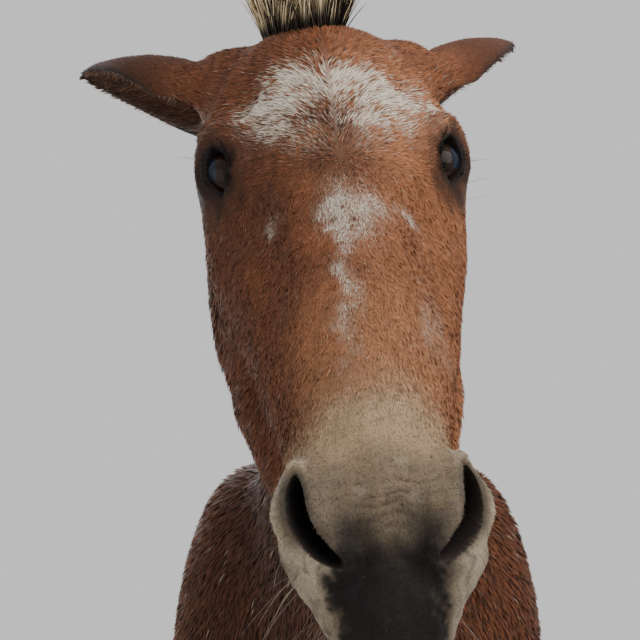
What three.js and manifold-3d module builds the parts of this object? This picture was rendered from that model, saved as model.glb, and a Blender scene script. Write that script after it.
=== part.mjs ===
// Mule standing at rest, life size. Millimetres, +Z up, the face towards -Y, the mule's left on +X.
import * as THREE from 'three';
import Module from 'manifold-3d';

const wasm = await Module();
wasm.setup();

// Driving sizes
const WITHERS_HEIGHT = 1500;
const BODY_SCALE = WITHERS_HEIGHT / 1450;
const HEAD_SCALE = 1.05;
const GAP = 0.3;
const EYE_RADIUS = 22;
const LID_THICKNESS = 3;
const EAR_LENGTH = 262;
const EAR_HALF_WIDTH = 50;
const EAR_THICKNESS = 5;
const LEG_CUT_HEIGHT = 740;
const HEAD_AROUND = 36;
const MANE_HEIGHT = 78;
const MANE_LOCK_WIDTH = 40;
const MANE_LOCK_THICKNESS = 7;
const MANE_LOCK_COUNT = 38;
const FORELOCK_HEIGHT = 82;
const FORELOCK_COUNT = 11;
const TAIL_LENGTH = 800;
const TAIL_LOCK_WIDTH = 66;
const TAIL_LOCK_THICKNESS = 12;
const TAIL_LOCK_COUNT = 15;

// Colours
const COAT = { color: 0x6b3f28, roughness: 0.85, metalness: 0 };
const DARK_COAT = { color: 0x33221a, roughness: 0.85, metalness: 0 };
const HORN = { color: 0x2c2724, roughness: 0.55, metalness: 0 };
const EYE = { color: 0x1a120d, roughness: 0.08, metalness: 0 };
const HAIR = { color: 0x1d1613, roughness: 0.75, metalness: 0 };

// Seeded numbers, so that every build gives the same locks
let seed = 7;
const random = () => {
  seed = (seed * 16807) % 2147483647;
  return seed / 2147483647;
};
const spread = (low, high) => low + (high - low) * random();
const V = (x, y, z) => new THREE.Vector3(x, y, z);
const mix = (a, b, t) => a + (b - a) * t;
const clamp = (x, low = 0, high = 1) => Math.min(Math.max(x, low), high);
const smooth = (t) => clamp(t) ** 2 * (3 - 2 * clamp(t));

// Distance-like fields: below zero inside the flesh, above zero outside
const blend = (a, b, k) => {
  const h = Math.max(k - Math.abs(a - b), 0) / k;
  return Math.min(a, b) - h * h * k / 4;
};
const carve = (a, b, k) => -blend(-a, b, k);
const ellipsoid = (p, c, r) => {
  const x = p.x - c[0];
  const y = p.y - c[1];
  const z = p.z - c[2];
  const k0 = Math.hypot(x / r[0], y / r[1], z / r[2]);
  const k1 = Math.hypot(x / r[0] ** 2, y / r[1] ** 2, z / r[2] ** 2);
  return k1 < 1e-9 ? -Math.min(...r) : k0 * (k0 - 1) / k1;
};

// A chain of stations {c: centre, w: half width, d: half depth, n: depth direction, taper}
// taper narrows the side that the depth direction points to
const chain = (p, stations, across) => {
  let best = null;
  for (let i = 0; i + 1 < stations.length; i++) {
    const a = stations[i].c;
    const b = stations[i + 1].c;
    const abx = b.x - a.x;
    const aby = b.y - a.y;
    const abz = b.z - a.z;
    const t = clamp(((p.x - a.x) * abx + (p.y - a.y) * aby + (p.z - a.z) * abz) / (abx * abx + aby * aby + abz * abz));
    const x = p.x - a.x - abx * t;
    const y = p.y - a.y - aby * t;
    const z = p.z - a.z - abz * t;
    const d2 = x * x + y * y + z * z;
    if (!best || d2 < best.d2) best = { d2, i, t, x, y, z };
  }
  const s = stations[best.i];
  const e = stations[best.i + 1];
  const nx = mix(s.n.x, e.n.x, best.t);
  const ny = mix(s.n.y, e.n.y, best.t);
  const nz = mix(s.n.z, e.n.z, best.t);
  const nl = Math.hypot(nx, ny, nz);
  const lateral = best.x * across.x + best.y * across.y + best.z * across.z;
  const depth = (best.x * nx + best.y * ny + best.z * nz) / nl;
  const rest2 = Math.max(best.d2 - lateral * lateral - depth * depth, 0);
  const d = mix(s.d, e.d, best.t);
  const taper = mix(s.taper ?? 0, e.taper ?? 0, best.t);
  const w = mix(s.w, e.w, best.t) * (1 - taper * smooth(depth / d));
  const k = Math.sqrt((lateral / w) ** 2 + (depth / d) ** 2 + rest2 / (w * d));
  const r = Math.sqrt(best.d2);
  return k < 1e-6 ? -Math.min(w, d) : r * (1 - 1 / k);
};

// Trunk: stations along Y with the top line, the bottom line and the half width
const TRUNK = [
  [-640, 1150, 985, 90], [-600, 1235, 900, 135], [-560, 1290, 850, 162], [-480, 1385, 800, 188],
  [-400, 1446, 775, 200], [-300, 1440, 760, 222], [-150, 1402, 750, 258], [0, 1382, 744, 284],
  [150, 1382, 748, 292], [300, 1400, 775, 284], [420, 1420, 815, 262], [520, 1432, 862, 246],
  [620, 1415, 915, 228], [720, 1368, 980, 192], [790, 1305, 1040, 146], [835, 1235, 1095, 92],
].map((row) => row.map((value) => value * BODY_SCALE));
const trunkAt = (y) => {
  const last = TRUNK.length - 1;
  const yy = clamp(y, TRUNK[0][0], TRUNK[last][0]);
  let i = 0;
  while (i < last - 1 && TRUNK[i + 1][0] < yy) i++;
  const t = smooth((yy - TRUNK[i][0]) / (TRUNK[i + 1][0] - TRUNK[i][0])) * 0.35
    + (yy - TRUNK[i][0]) / (TRUNK[i + 1][0] - TRUNK[i][0]) * 0.65;
  return TRUNK[i].map((value, j) => mix(value, TRUNK[i + 1][j], t));
};
const trunk = (p) => {
  const [, top, bottom, half] = trunkAt(p.y);
  const last = TRUNK.length - 1;
  const over = Math.max(TRUNK[0][0] - p.y, p.y - TRUNK[last][0], 0);
  const widest = mix(bottom, top, 0.44);
  const dz = p.z - widest;
  const withers = smooth((-150 - p.y) / 300);
  const h = dz > 0 ? top - widest : widest - bottom;
  const e = dz > 0 ? mix(2.15, 1.65, withers) : 2.1;
  const k = (Math.abs(p.x / half) ** e + Math.abs(dz / h) ** e) ** (1 / e);
  const r = Math.hypot(p.x, dz);
  const flat = k < 1e-6 ? -Math.min(half, h) : r * (1 - 1 / k);
  return over > 0 ? Math.hypot(Math.max(flat, 0), over) : flat;
};

// Neck: from the base between the shoulders up to the poll, bending a little to the mule's right
const ACROSS = V(1, 0, 0);
const NECK = [
  { c: V(0, -500, 1275), n: V(0, 0.6, 0.8), w: 150, d: 228, taper: 0.4 },
  { c: V(-8, -700, 1440), n: V(0, 0.56, 0.83), w: 98, d: 174, taper: 0.45 },
  { c: V(-26, -850, 1562), n: V(0, 0.53, 0.85), w: 77, d: 128, taper: 0.4 },
  { c: V(-42, -965, 1655), n: V(0, 0.49, 0.87), w: 70, d: 100, taper: 0.2 },
  { c: V(-48, -1012, 1690), n: V(0, 0.49, 0.87), w: 62, d: 84, taper: 0 },
];

// Head frame: x across to the mule's left, y down the face from the poll, z into the skull
const FACE_LINE = V(0.088, -0.492, -0.866).normalize();
const HEAD_ACROSS = V(0.996, 0.055, 0.072);
HEAD_ACROSS.addScaledVector(FACE_LINE, -HEAD_ACROSS.dot(FACE_LINE)).normalize();
const HEAD_DEPTH = HEAD_ACROSS.clone().cross(FACE_LINE).normalize();
const HEAD_ORIGIN = V(-50, -1073, 1832);
const head = new THREE.Matrix4().makeBasis(HEAD_ACROSS, FACE_LINE, HEAD_DEPTH);
head.scale(V(HEAD_SCALE, HEAD_SCALE, HEAD_SCALE));
head.setPosition(HEAD_ORIGIN);
const headInverse = head.clone().invert();
const fromHead = (x, y, z) => V(x, y, z).applyMatrix4(head);
const DEEP = V(0, 0, 1);
const side = (s, list) => list.map(([x, y, z, w, d]) => ({ c: V(s * x, y, z), w, d: d ?? w, n: DEEP }));
const BRIDGE = side(1, [[0, 190, 54, 64, 52], [0, 330, 46, 50, 46], [0, 480, 40, 40, 39]]);
const MAXILLA = side(1, [[0, 215, 92, 95, 76], [0, 300, 84, 89, 72], [0, 390, 78, 76, 70], [0, 460, 72, 61, 62], [0, 520, 70, 50, 54]]);
const CREST = [-1, 1].map((s) => side(s, [[90, 135, 74, 15], [84, 260, 90, 14], [66, 360, 92, 10]]));
const JAW = [-1, 1].map((s) => side(s, [
  [62, 165, 205, 26], [64, 270, 180, 32], [58, 350, 158, 34], [42, 430, 140, 30], [22, 520, 130, 24],
]));
const headFlesh = (world) => {
  const p = world.clone().applyMatrix4(headInverse);
  const q = { x: Math.abs(p.x), y: p.y, z: p.z };
  const j = p.x < 0 ? 0 : 1;
  let f = ellipsoid(p, [0, 114, 86], [95, 98, 80]);
  f = blend(f, ellipsoid(p, [0, 182, 66], [100, 98, 64]), 24);
  f = blend(f, chain(p, BRIDGE, ACROSS), 22);
  f = blend(f, chain(p, MAXILLA, ACROSS), 26);
  f = blend(f, ellipsoid(q, [68, 195, 158], [38, 118, 96]), 34);
  f = blend(f, chain(p, JAW[j], ACROSS), 22);
  f = blend(f, ellipsoid(p, [0, 125, 160], [62, 105, 78]), 36);
  f = blend(f, chain(p, CREST[j], ACROSS), 18);
  f = blend(f, ellipsoid(q, [84, 188, 52], [26, 40, 33]), 16);
  f = carve(f, ellipsoid(q, [74, 128, 22], [16, 26, 12]), 24);
  f = carve(f, ellipsoid(q, [88, 312, 20], [26, 60, 18]), 30);
  f = blend(f, ellipsoid(q, [39, 540, 50], [32, 52, 42]), 16);
  f = blend(f, ellipsoid(p, [0, 535, 34], [34, 46, 30]), 16);
  f = blend(f, ellipsoid(p, [0, 590, 76], [45, 40, 40]), 22);
  f = blend(f, ellipsoid(p, [0, 572, 120], [35, 40, 25]), 14);
  f = blend(f, ellipsoid(p, [0, 545, 138], [30, 34, 25]), 18);
  f = blend(f, ellipsoid(q, [76, 52, 94], [33, 42, 42]), 24);
  return f * HEAD_SCALE;
};

// Legs: stations down each leg, half width across and half depth fore and aft
const BACK = V(0, 1, 0);
const leg = (s, forward, rows) => rows.map(([x, y, z, w, d]) => {
  const swing = forward * clamp((1050 - z) / 1000);
  return { c: V(s * x, y - swing, z), w, d, n: BACK };
});
const FORE_ROWS = [
  [138, -462, 980, 58, 90], [144, -448, 890, 60, 96], [148, -437, 800, 57, 80],
  [146, -432, 700, 51, 62], [143, -431, 600, 44, 50], [141, -431, 520, 41, 43], [140, -433, 472, 45, 44],
  [140, -434, 435, 47, 47], [139, -430, 395, 41, 40], [138, -426, 345, 32, 36], [136, -424, 250, 30, 34],
  [135, -424, 195, 33, 38], [135, -422, 160, 38, 43], [134, -432, 130, 34, 36], [133, -446, 100, 33, 34],
  [132, -460, 72, 38, 40], [131, -470, 50, 44, 47],
];
const HIND_ROWS = [
  [144, 650, 980, 66, 135], [152, 662, 900, 74, 145], [156, 686, 820, 68, 119],
  [154, 716, 740, 58, 90], [150, 748, 680, 49, 70], [146, 778, 630, 41, 58], [144, 800, 592, 41, 64],
  [142, 808, 552, 44, 60], [141, 806, 510, 42, 51], [140, 802, 460, 35, 42], [139, 800, 400, 31, 38],
  [138, 800, 300, 30, 36], [137, 800, 220, 33, 38], [136, 799, 175, 40, 45], [136, 789, 140, 35, 38],
  [135, 773, 105, 33, 35], [134, 759, 76, 38, 41], [133, 749, 54, 44, 48],
];
const LEGS = {
  foreleg_left: leg(1, 30, FORE_ROWS),
  foreleg_right: leg(-1, -15, FORE_ROWS),
  hindleg_left: leg(1, -20, HIND_ROWS),
  hindleg_right: leg(-1, 60, HIND_ROWS),
};

// The whole animal as one field, so that neighbouring parts share their surface
const body = (p) => {
  const q = { x: Math.abs(p.x), y: p.y, z: p.z };
  let f = trunk(p);
  f = blend(f, chain(p, NECK, ACROSS), 70);
  if (p.y < -150) {
    f = blend(f, ellipsoid(q, [128, -500, 1200], [92, 140, 250]), 70);
    f = blend(f, ellipsoid(q, [118, -590, 1075], [82, 92, 110]), 60);
  }
  if (p.y > 250) {
    f = blend(f, ellipsoid(q, [132, 640, 1200], [118, 215, 215]), 80);
    f = blend(f, ellipsoid(q, [146, 628, 985], [86, 175, 205]), 70);
  }
  return f;
};
const flesh = (p) => {
  const f = body(p);
  return p.y < -700 ? blend(f, headFlesh(p), 34) : f;
};

// Planes between the parts: a point and the direction towards the rear part
const POLL_PLANE = { o: fromHead(0, 60, 150), n: V(0, 0.99, -0.14).normalize() };
const NECK_PLANE = { o: V(0, -560, 1330), n: V(0, 0.78, -0.62).normalize() };
const LEG_PLANE = { o: V(0, 0, LEG_CUT_HEIGHT), n: V(0, 0, -1) };
const ahead = (p, plane) => -p.clone().sub(plane.o).dot(plane.n);

// A closed skin found by rays: rings of rays round an axis, with a pole at either end
const reach = (origin, direction, field, limit) => {
  const step = Math.max(limit / 60, 3);
  let near = 0;
  for (let r = step; r < limit; r += step) {
    if (field(origin.clone().addScaledVector(direction, r)) > 0) {
      let far = r;
      for (let i = 0; i < 18; i++) {
        const middle = (near + far) / 2;
        if (field(origin.clone().addScaledVector(direction, middle)) > 0) far = middle;
        else near = middle;
      }
      return near;
    }
    near = r;
  }
  return limit;
};
const raySkin = ({ axis, up, across, field, limit, around, startRings = 4, endRings = 4 }) => {
  const rings = [];
  const last = axis.length - 1;
  const along = (i) => axis[Math.min(i + 1, last)].clone().sub(axis[Math.max(i - 1, 0)]).normalize();
  const add = (i, tilt) => rings.push({ o: axis[i], a: along(i), tilt, i });
  for (let r = 1; r < startRings; r++) add(0, -Math.PI / 2 + (Math.PI / 2) * r / startRings);
  for (let i = 0; i <= last; i++) add(i, 0);
  for (let r = 1; r < endRings; r++) add(last, (Math.PI / 2) * r / endRings);
  const points = [];
  const cast = (o, d, i) => points.push(o.clone().addScaledVector(d, reach(o, d, field, limit)));
  cast(axis[0], along(0).negate());
  for (const ring of rings) {
    const a = ring.a;
    const u = up.clone().addScaledVector(a, -up.dot(a)).normalize();
    const v = a.clone().cross(u).normalize();
    for (let k = 0; k < around; k++) {
      const t = 2 * Math.PI * k / around;
      const radial = u.clone().multiplyScalar(Math.cos(t)).addScaledVector(v, Math.sin(t));
      const d = radial.multiplyScalar(Math.cos(ring.tilt)).addScaledVector(a, Math.sin(ring.tilt)).normalize();
      cast(ring.o, d);
    }
  }
  cast(axis[last], along(last));
  return closedTube(points, around);
};

// Closed tube from a pole, rings of the same count and a pole
const closedTube = (points, around) => {
  const rings = (points.length - 2) / around;
  const faces = [];
  const at = (r, k) => 1 + r * around + (k % around);
  for (let k = 0; k < around; k++) {
    faces.push(0, at(0, k + 1), at(0, k));
    for (let r = 0; r + 1 < rings; r++) {
      faces.push(at(r, k), at(r, k + 1), at(r + 1, k + 1));
      faces.push(at(r, k), at(r + 1, k + 1), at(r + 1, k));
    }
    faces.push(points.length - 1, at(rings - 1, k), at(rings - 1, k + 1));
  }
  return solid(points, faces);
};
const signedVolume = (points, faces) => {
  let volume = 0;
  for (let i = 0; i < faces.length; i += 3) {
    const [a, b, c] = [points[faces[i]], points[faces[i + 1]], points[faces[i + 2]]];
    volume += a.dot(b.clone().cross(c)) / 6;
  }
  return volume;
};
const solid = (points, faces) => {
  const turned = signedVolume(points, faces) < 0;
  const tris = new Uint32Array(faces.length);
  for (let i = 0; i < faces.length; i += 3) {
    tris[i] = faces[i];
    tris[i + 1] = turned ? faces[i + 2] : faces[i + 1];
    tris[i + 2] = turned ? faces[i + 1] : faces[i + 2];
  }
  const vertProperties = new Float32Array(points.flatMap((p) => [p.x, p.y, p.z]));
  return new wasm.Manifold(new wasm.Mesh({ numProp: 3, vertProperties, triVerts: tris }));
};
const largest = (shape) => shape.decompose().sort((a, b) => b.volume() - a.volume())[0];

// A big block whose one face lies on a plane, for cutting a part off there
const block = (plane, towards, slack = 0) => {
  const size = 4000;
  const n = plane.n.clone().multiplyScalar(towards);
  const turn = new THREE.Quaternion().setFromUnitVectors(V(0, 0, 1), n);
  const centre = plane.o.clone().addScaledVector(n, size / 2 + slack);
  const box = new THREE.BoxGeometry(size, size, size).toNonIndexed();
  const corners = [];
  const faces = [];
  const position = box.getAttribute('position');
  for (let i = 0; i < position.count; i++) {
    const p = V(position.getX(i), position.getY(i), position.getZ(i));
    let index = corners.findIndex((c) => c.distanceTo(p) < 1e-6);
    if (index < 0) index = corners.push(p) - 1;
    faces.push(index);
  }
  return solid(corners.map((p) => p.clone().applyQuaternion(turn).add(centre)), faces);
};

// Rounded patches and lobes
const ball = (centre, radius, around, rings, shape = () => 1, axis = V(0, 0, 1)) => {
  const turn = new THREE.Quaternion().setFromUnitVectors(V(0, 0, 1), axis.clone().normalize());
  const points = [];
  const put = (polar, turnAngle) => {
    const d = V(Math.sin(polar) * Math.cos(turnAngle), Math.sin(polar) * Math.sin(turnAngle), Math.cos(polar));
    points.push(d.applyQuaternion(turn).multiplyScalar(radius * shape(polar)).add(centre));
  };
  put(0, 0);
  for (let r = 1; r < rings; r++) {
    for (let k = 0; k < around; k++) put(Math.PI * r / rings, 2 * Math.PI * k / around);
  }
  put(Math.PI, 0);
  return closedTube(points, around);
};
const loft = (rings, start, end) => {
  const around = rings[0].length;
  const middle = (ring) => ring.reduce((sum, p) => sum.add(p), V(0, 0, 0)).multiplyScalar(1 / around);
  return closedTube([start ?? middle(rings[0]), ...rings.flat(), end ?? middle(rings[rings.length - 1])], around);
};

// Head solid
const headAxis = [];
const HEAD_STATIONS = [
  [74, 118], [96, 116], [118, 114], [136, 112], [152, 110], [166, 108], [180, 106], [194, 105], [208, 104], [222, 103],
  [240, 101], [262, 100], [288, 98], [318, 96], [350, 93], [382, 90], [412, 87], [438, 84], [458, 82], [474, 81],
  [488, 80], [500, 80], [512, 80], [524, 80], [536, 81], [548, 82], [562, 84],
];
for (const [y, z] of HEAD_STATIONS) headAxis.push(fromHead(0, y, z));
const headField = (level) => (p) => Math.max(flesh(p) - level, -ahead(p, POLL_PLANE) - 45);
const headSkin = (level, around) => raySkin({
  axis: headAxis,
  up: HEAD_DEPTH.clone().negate(),
  across: HEAD_ACROSS,
  field: headField(level),
  limit: 330,
  around,
  startRings: 6,
  endRings: 7,
});

// Eyes: a ball each, flatter behind and a little raised in front
const eyeSide = (s) => {
  const centre = fromHead(s * 81, 199, 57);
  const gaze = V(s * 0.79, 0.04, -0.61).transformDirection(head);
  return { centre, gaze };
};
const cornea = (polar) => 1 + 0.06 * Math.exp(-((polar / 0.5) ** 2));
const eyeBall = (s, extra) => {
  const { centre, gaze } = eyeSide(s);
  return ball(centre, EYE_RADIUS + extra, 16, 10, cornea, gaze);
};
const lidOpening = (s) => {
  const { centre, gaze } = eyeSide(s);
  const along = V(0, 0.97, 0.1).transformDirection(head);
  along.addScaledVector(gaze, -along.dot(gaze)).normalize();
  const lift = gaze.clone().cross(along).normalize();
  if (lift.dot(HEAD_DEPTH) > 0) lift.negate();
  const ring = (far, scale) => {
    const points = [];
    for (let k = 0; k < 16; k++) {
      const t = 2 * Math.PI * k / 16;
      const wide = 18 * Math.cos(t);
      const high = (Math.sin(t) > 0 ? 11.5 : 8.5) * Math.sin(t) * (1 - 0.25 * Math.abs(Math.cos(t)) ** 3);
      points.push(centre.clone().addScaledVector(gaze, far)
        .addScaledVector(along, wide * scale).addScaledVector(lift, (high - 1) * scale));
    }
    return points;
  };
  return loft([ring(6, 0.9), ring(22, 1), ring(48, 1.25)]);
};

// Nostrils: a comma-shaped mouth of the passage, wide above and hooked in below
const NOSTRIL = [
  [53, 508], [59, 514], [62, 526], [61, 545], [53, 564], [43, 576], [32, 581],
  [31, 574], [38, 562], [45, 547], [48, 533], [49, 520],
];
const nostril = (s) => {
  const inward = V(-0.14 * s, -0.55, 0.82);
  const middle = V(s * 46, 545, 30);
  const ring = (travel, scale) => NOSTRIL.map(([x, y]) => {
    const p = V(s * x, y, 30).sub(middle).multiplyScalar(scale).add(middle).addScaledVector(inward, travel);
    return fromHead(p.x, p.y, p.z);
  });
  return loft([ring(-60, 1), ring(0, 1), ring(26, 0.86), ring(50, 0.5)]);
};

// Line of the mouth: a thin bent wedge round the muzzle between the lips
const mouth = () => {
  const steps = 22;
  const outer = [];
  const inner = [];
  for (let i = 0; i <= steps; i++) {
    const t = -1 + 2 * i / steps;
    const angle = t * 1.72;
    const back = Math.abs(t) ** 1.6;
    const y = mix(560, 470, back);
    const z = mix(104, 119, back);
    const o = fromHead(0, y, z);
    const d = V(Math.sin(angle), Math.cos(angle) * 0.9, 0.12 * Math.cos(angle)).transformDirection(head);
    const r = reach(o, d, headField(0), 160);
    outer.push(o.clone().addScaledVector(d, r + 5));
    inner.push(o.clone().addScaledVector(d, Math.max(r - mix(11, 5, back), 2)));
  }
  const points = [];
  const lift = HEAD_DEPTH;
  const rings = outer.map((p, i) => [
    p.clone().addScaledVector(lift, -2.6), p.clone().addScaledVector(lift, 2.6),
    inner[i].clone().addScaledVector(lift, 0.8), inner[i].clone().addScaledVector(lift, -0.8),
  ]);
  return loft(rings);
};

// Ears: a cupped leaf each, open forwards and down, thick at the root and thin at the rim
const earFrame = (s) => {
  const base = fromHead(s * 94, 46, 104);
  const axis = (s > 0 ? V(0.395, 0.793, 0.462) : V(-0.55, 0.745, 0.36)).normalize();
  const open = V(s * 0.42, -0.12, -0.88);
  open.addScaledVector(axis, -open.dot(axis)).normalize();
  const across = axis.clone().cross(open).normalize();
  return { base, axis, open, across };
};
const ear = (s) => {
  const { base, axis, open, across } = earFrame(s);
  const rows = [
    [-0.12, 0.66, 0.2], [0, 0.74, 0.35], [0.09, 0.83, 0.7], [0.19, 0.94, 1.1],
    [0.31, 1, 1.35], [0.44, 0.96, 1.5], [0.57, 0.85, 1.6], [0.7, 0.68, 1.65], [0.81, 0.49, 1.65],
    [0.9, 0.3, 1.6], [0.96, 0.15, 1.5],
  ];
  const rings = rows.map(([t, wide, gape]) => {
    const c = base.clone().addScaledVector(axis, t * EAR_LENGTH)
      .addScaledVector(open, 14 * Math.sin(Math.PI * clamp(t)) + 6 * t * t);
    const w = wide * EAR_HALF_WIDTH;
    const thick = mix(EAR_THICKNESS, 2.2, clamp(t)) * Math.min(1, wide * 3);
    const points = [];
    const n = 8;
    const half = Math.PI - gape;
    for (let k = 0; k <= n; k++) {
      const a = Math.PI + mix(-half, half, k / n);
      points.push(c.clone().addScaledVector(open, Math.cos(a) * w * 0.72).addScaledVector(across, Math.sin(a) * w));
    }
    for (let k = n; k >= 0; k--) {
      const a = Math.PI + mix(-half, half, k / n);
      const inset = thick * (k === 0 || k === n ? 0.45 : 1);
      points.push(c.clone().addScaledVector(open, Math.cos(a) * (w * 0.72 - inset))
        .addScaledVector(across, Math.sin(a) * (w - inset)));
    }
    return points;
  });
  const tip = base.clone().addScaledVector(axis, EAR_LENGTH).addScaledVector(open, 8);
  const start = rings[0].reduce((sum, p) => sum.add(p), V(0, 0, 0)).multiplyScalar(1 / rings[0].length);
  return loft(rings, start, tip);
};
const earStub = (s) => {
  const { base, axis, open, across } = earFrame(s);
  const ring = (t, scale) => {
    const points = [];
    for (let k = 0; k < 16; k++) {
      const a = 2 * Math.PI * k / 16;
      points.push(base.clone().addScaledVector(axis, t).addScaledVector(open, Math.cos(a) * 27 * scale)
        .addScaledVector(across, Math.sin(a) * 31 * scale));
    }
    return points;
  };
  return loft([ring(-40, 1), ring(0, 0.96), ring(14, 0.7)]);
};

// Hair locks: flat, tapered and bending, a diamond section running to a point
const lock = ({ root, grow, flat, bend, length, width, thickness, segments = 3 }) => {
  const rings = [];
  for (let i = 0; i <= segments; i++) {
    const t = i / (segments + 1);
    const c = root.clone().addScaledVector(grow, length * t).addScaledVector(bend, length * t * t);
    const w = width / 2 * (t < 0.4 ? mix(0.85, 1, t / 0.4) : mix(1, 0.4, (t - 0.4) / 0.6));
    const h = Math.max(thickness / 2 * (1 - 0.75 * t), 0.3);
    const forward = grow.clone().addScaledVector(bend, 2 * t).normalize();
    const f = flat.clone().addScaledVector(forward, -flat.dot(forward)).normalize();
    const n = forward.clone().cross(f).normalize();
    rings.push([
      c.clone().addScaledVector(f, w), c.clone().addScaledVector(n, h),
      c.clone().addScaledVector(f, -w), c.clone().addScaledVector(n, -h),
    ]);
  }
  return loft(rings, undefined, root.clone().addScaledVector(grow, length).addScaledVector(bend, length));
};
const joined = (shape, locks) => largest(locks.reduce((sum, one) => sum.add(one), shape));

// Neck solid with the upright mane
const neckField = (p) => Math.max(flesh(p), ahead(p, POLL_PLANE) - 45, -ahead(p, NECK_PLANE) - 70);
const neckAxis = [];
const neckCurve = new THREE.CatmullRomCurve3([V(0, -590, 1345), V(-10, -700, 1440), V(-26, -850, 1562), V(-40, -950, 1640)]);
for (let i = 0; i <= 10; i++) neckAxis.push(neckCurve.getPoint(i / 10));
const neckSkin = raySkin({
  axis: neckAxis,
  up: V(0, 0.55, 0.83),
  across: ACROSS,
  field: neckField,
  limit: 420,
  around: 22,
  startRings: 4,
  endRings: 3,
});
const crestPoint = (t, level = 0) => {
  const o = new THREE.CatmullRomCurve3(NECK.slice(0, 4).map((s) => s.c)).getPoint(t);
  const d = V(0, 0.55, 0.83).normalize();
  return { p: o.clone().addScaledVector(d, reach(o, d, (x) => body(x) - level, 400)), d };
};
const maneLocks = () => {
  const locks = [];
  for (let i = 0; i < MANE_LOCK_COUNT; i++) {
    const row = i % 2 ? 1 : -1;
    const t = mix(0.16, 0.95, (i + spread(-0.2, 0.2)) / (MANE_LOCK_COUNT - 1));
    const { p, d } = crestPoint(t);
    const ahead0 = crestPoint(Math.min(t + 0.03, 1)).p.sub(p).normalize();
    const height = MANE_HEIGHT * mix(0.5, 1, smooth(t / 0.5)) * spread(0.86, 1.14);
    const grow = d.clone().addScaledVector(ACROSS, row * 0.1 + spread(-0.05, 0.05))
      .addScaledVector(ahead0, spread(-0.05, 0.14)).normalize();
    locks.push(lock({
      root: p.clone().addScaledVector(ACROSS, row * 8).addScaledVector(d, -10),
      grow,
      flat: ahead0,
      bend: ACROSS.clone().multiplyScalar(row * 0.14 + spread(-0.05, 0.05)).addScaledVector(ahead0, spread(-0.16, 0.1)),
      length: height + 10,
      width: MANE_LOCK_WIDTH * spread(0.9, 1.15),
      thickness: MANE_LOCK_THICKNESS * spread(0.9, 1.2),
      segments: 2,
    }));
  }
  return locks;
};

// Forelock: a short upright tuft between the ears
const forelockLocks = () => {
  const locks = [];
  for (let i = 0; i < FORELOCK_COUNT; i++) {
    const row = Math.floor(i / 4);
    const column = (i % 4) - 1.5;
    const x = column * 13 + (row % 2 ? 5 : -3);
    const y = 12 + row * 15;
    const o = fromHead(x, y, 80);
    const d = HEAD_DEPTH.clone().negate();
    const p = o.clone().addScaledVector(d, reach(o, d, flesh, 200));
    const grow = V(0, -0.42 - 0.1 * row, 0.9).addScaledVector(ACROSS, column * 0.14 + spread(-0.05, 0.05)).normalize();
    locks.push(lock({
      root: p.clone().addScaledVector(grow, -10),
      grow,
      flat: ACROSS.clone().addScaledVector(BACK, spread(-0.4, 0.4)).normalize(),
      bend: V(column * 0.08 + spread(-0.06, 0.06), -0.1 - 0.1 * row, 0),
      length: FORELOCK_HEIGHT * spread(0.85, 1.15) * (1 - 0.12 * row) + 10,
      width: MANE_LOCK_WIDTH * spread(0.9, 1.2),
      thickness: MANE_LOCK_THICKNESS,
    }));
  }
  return locks;
};

// Torso solid
const torsoField = (level) => (p) => Math.max(flesh(p) - level, ahead(p, NECK_PLANE) - 70);
const torsoAxis = [];
for (let i = 0; i <= 22; i++) torsoAxis.push(V(0, mix(-470, 690, i / 22), mix(1150, 1190, i / 22)));
const torsoSkin = (level) => raySkin({
  axis: torsoAxis,
  up: V(0, 0, 1),
  across: ACROSS,
  field: torsoField(level),
  limit: 560,
  around: 30,
  startRings: 5,
  endRings: 5,
});
const legSkin = (name) => {
  const rows = LEGS[name].filter((row) => row.c.z < 1000);
  const around = 14;
  const rings = rows.map(({ c, w, d }) => {
    const points = [];
    for (let k = 0; k < around; k++) {
      const a = 2 * Math.PI * (k + 0.5) / around;
      points.push(V(c.x + Math.cos(a) * w, c.y + Math.sin(a) * d, c.z));
    }
    return points;
  });
  return loft(rings, rows[0].c.clone().setZ(1010), rows[rows.length - 1].c.clone().setZ(38));
};

// Hooves: a cut-off cone leaning back, narrow and upright as a mule's are, flat on the ground
const hoof = (name) => {
  const rows = LEGS[name];
  const c = rows[rows.length - 1].c;
  const ring = (z, lean, wide, long) => {
    const points = [];
    for (let k = 0; k < 16; k++) {
      const a = 2 * Math.PI * k / 16;
      const heel = Math.sin(a) > 0 ? mix(1, 0.86, Math.sin(a)) : 1;
      points.push(V(c.x + Math.cos(a) * wide, c.y + lean + Math.sin(a) * long * heel, z));
    }
    return points;
  };
  return loft([ring(0, -15, 56, 68), ring(4, -14.5, 57, 68), ring(45, -4, 51, 57), ring(80, 5, 46, 50), ring(96, 8, 44, 46)]);
};
const coronet = (name) => {
  const rows = LEGS[name];
  const c = rows[rows.length - 1].c;
  return { o: V(c.x, c.y, 60), n: V(0, -0.34, -0.94).normalize() };
};

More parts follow.
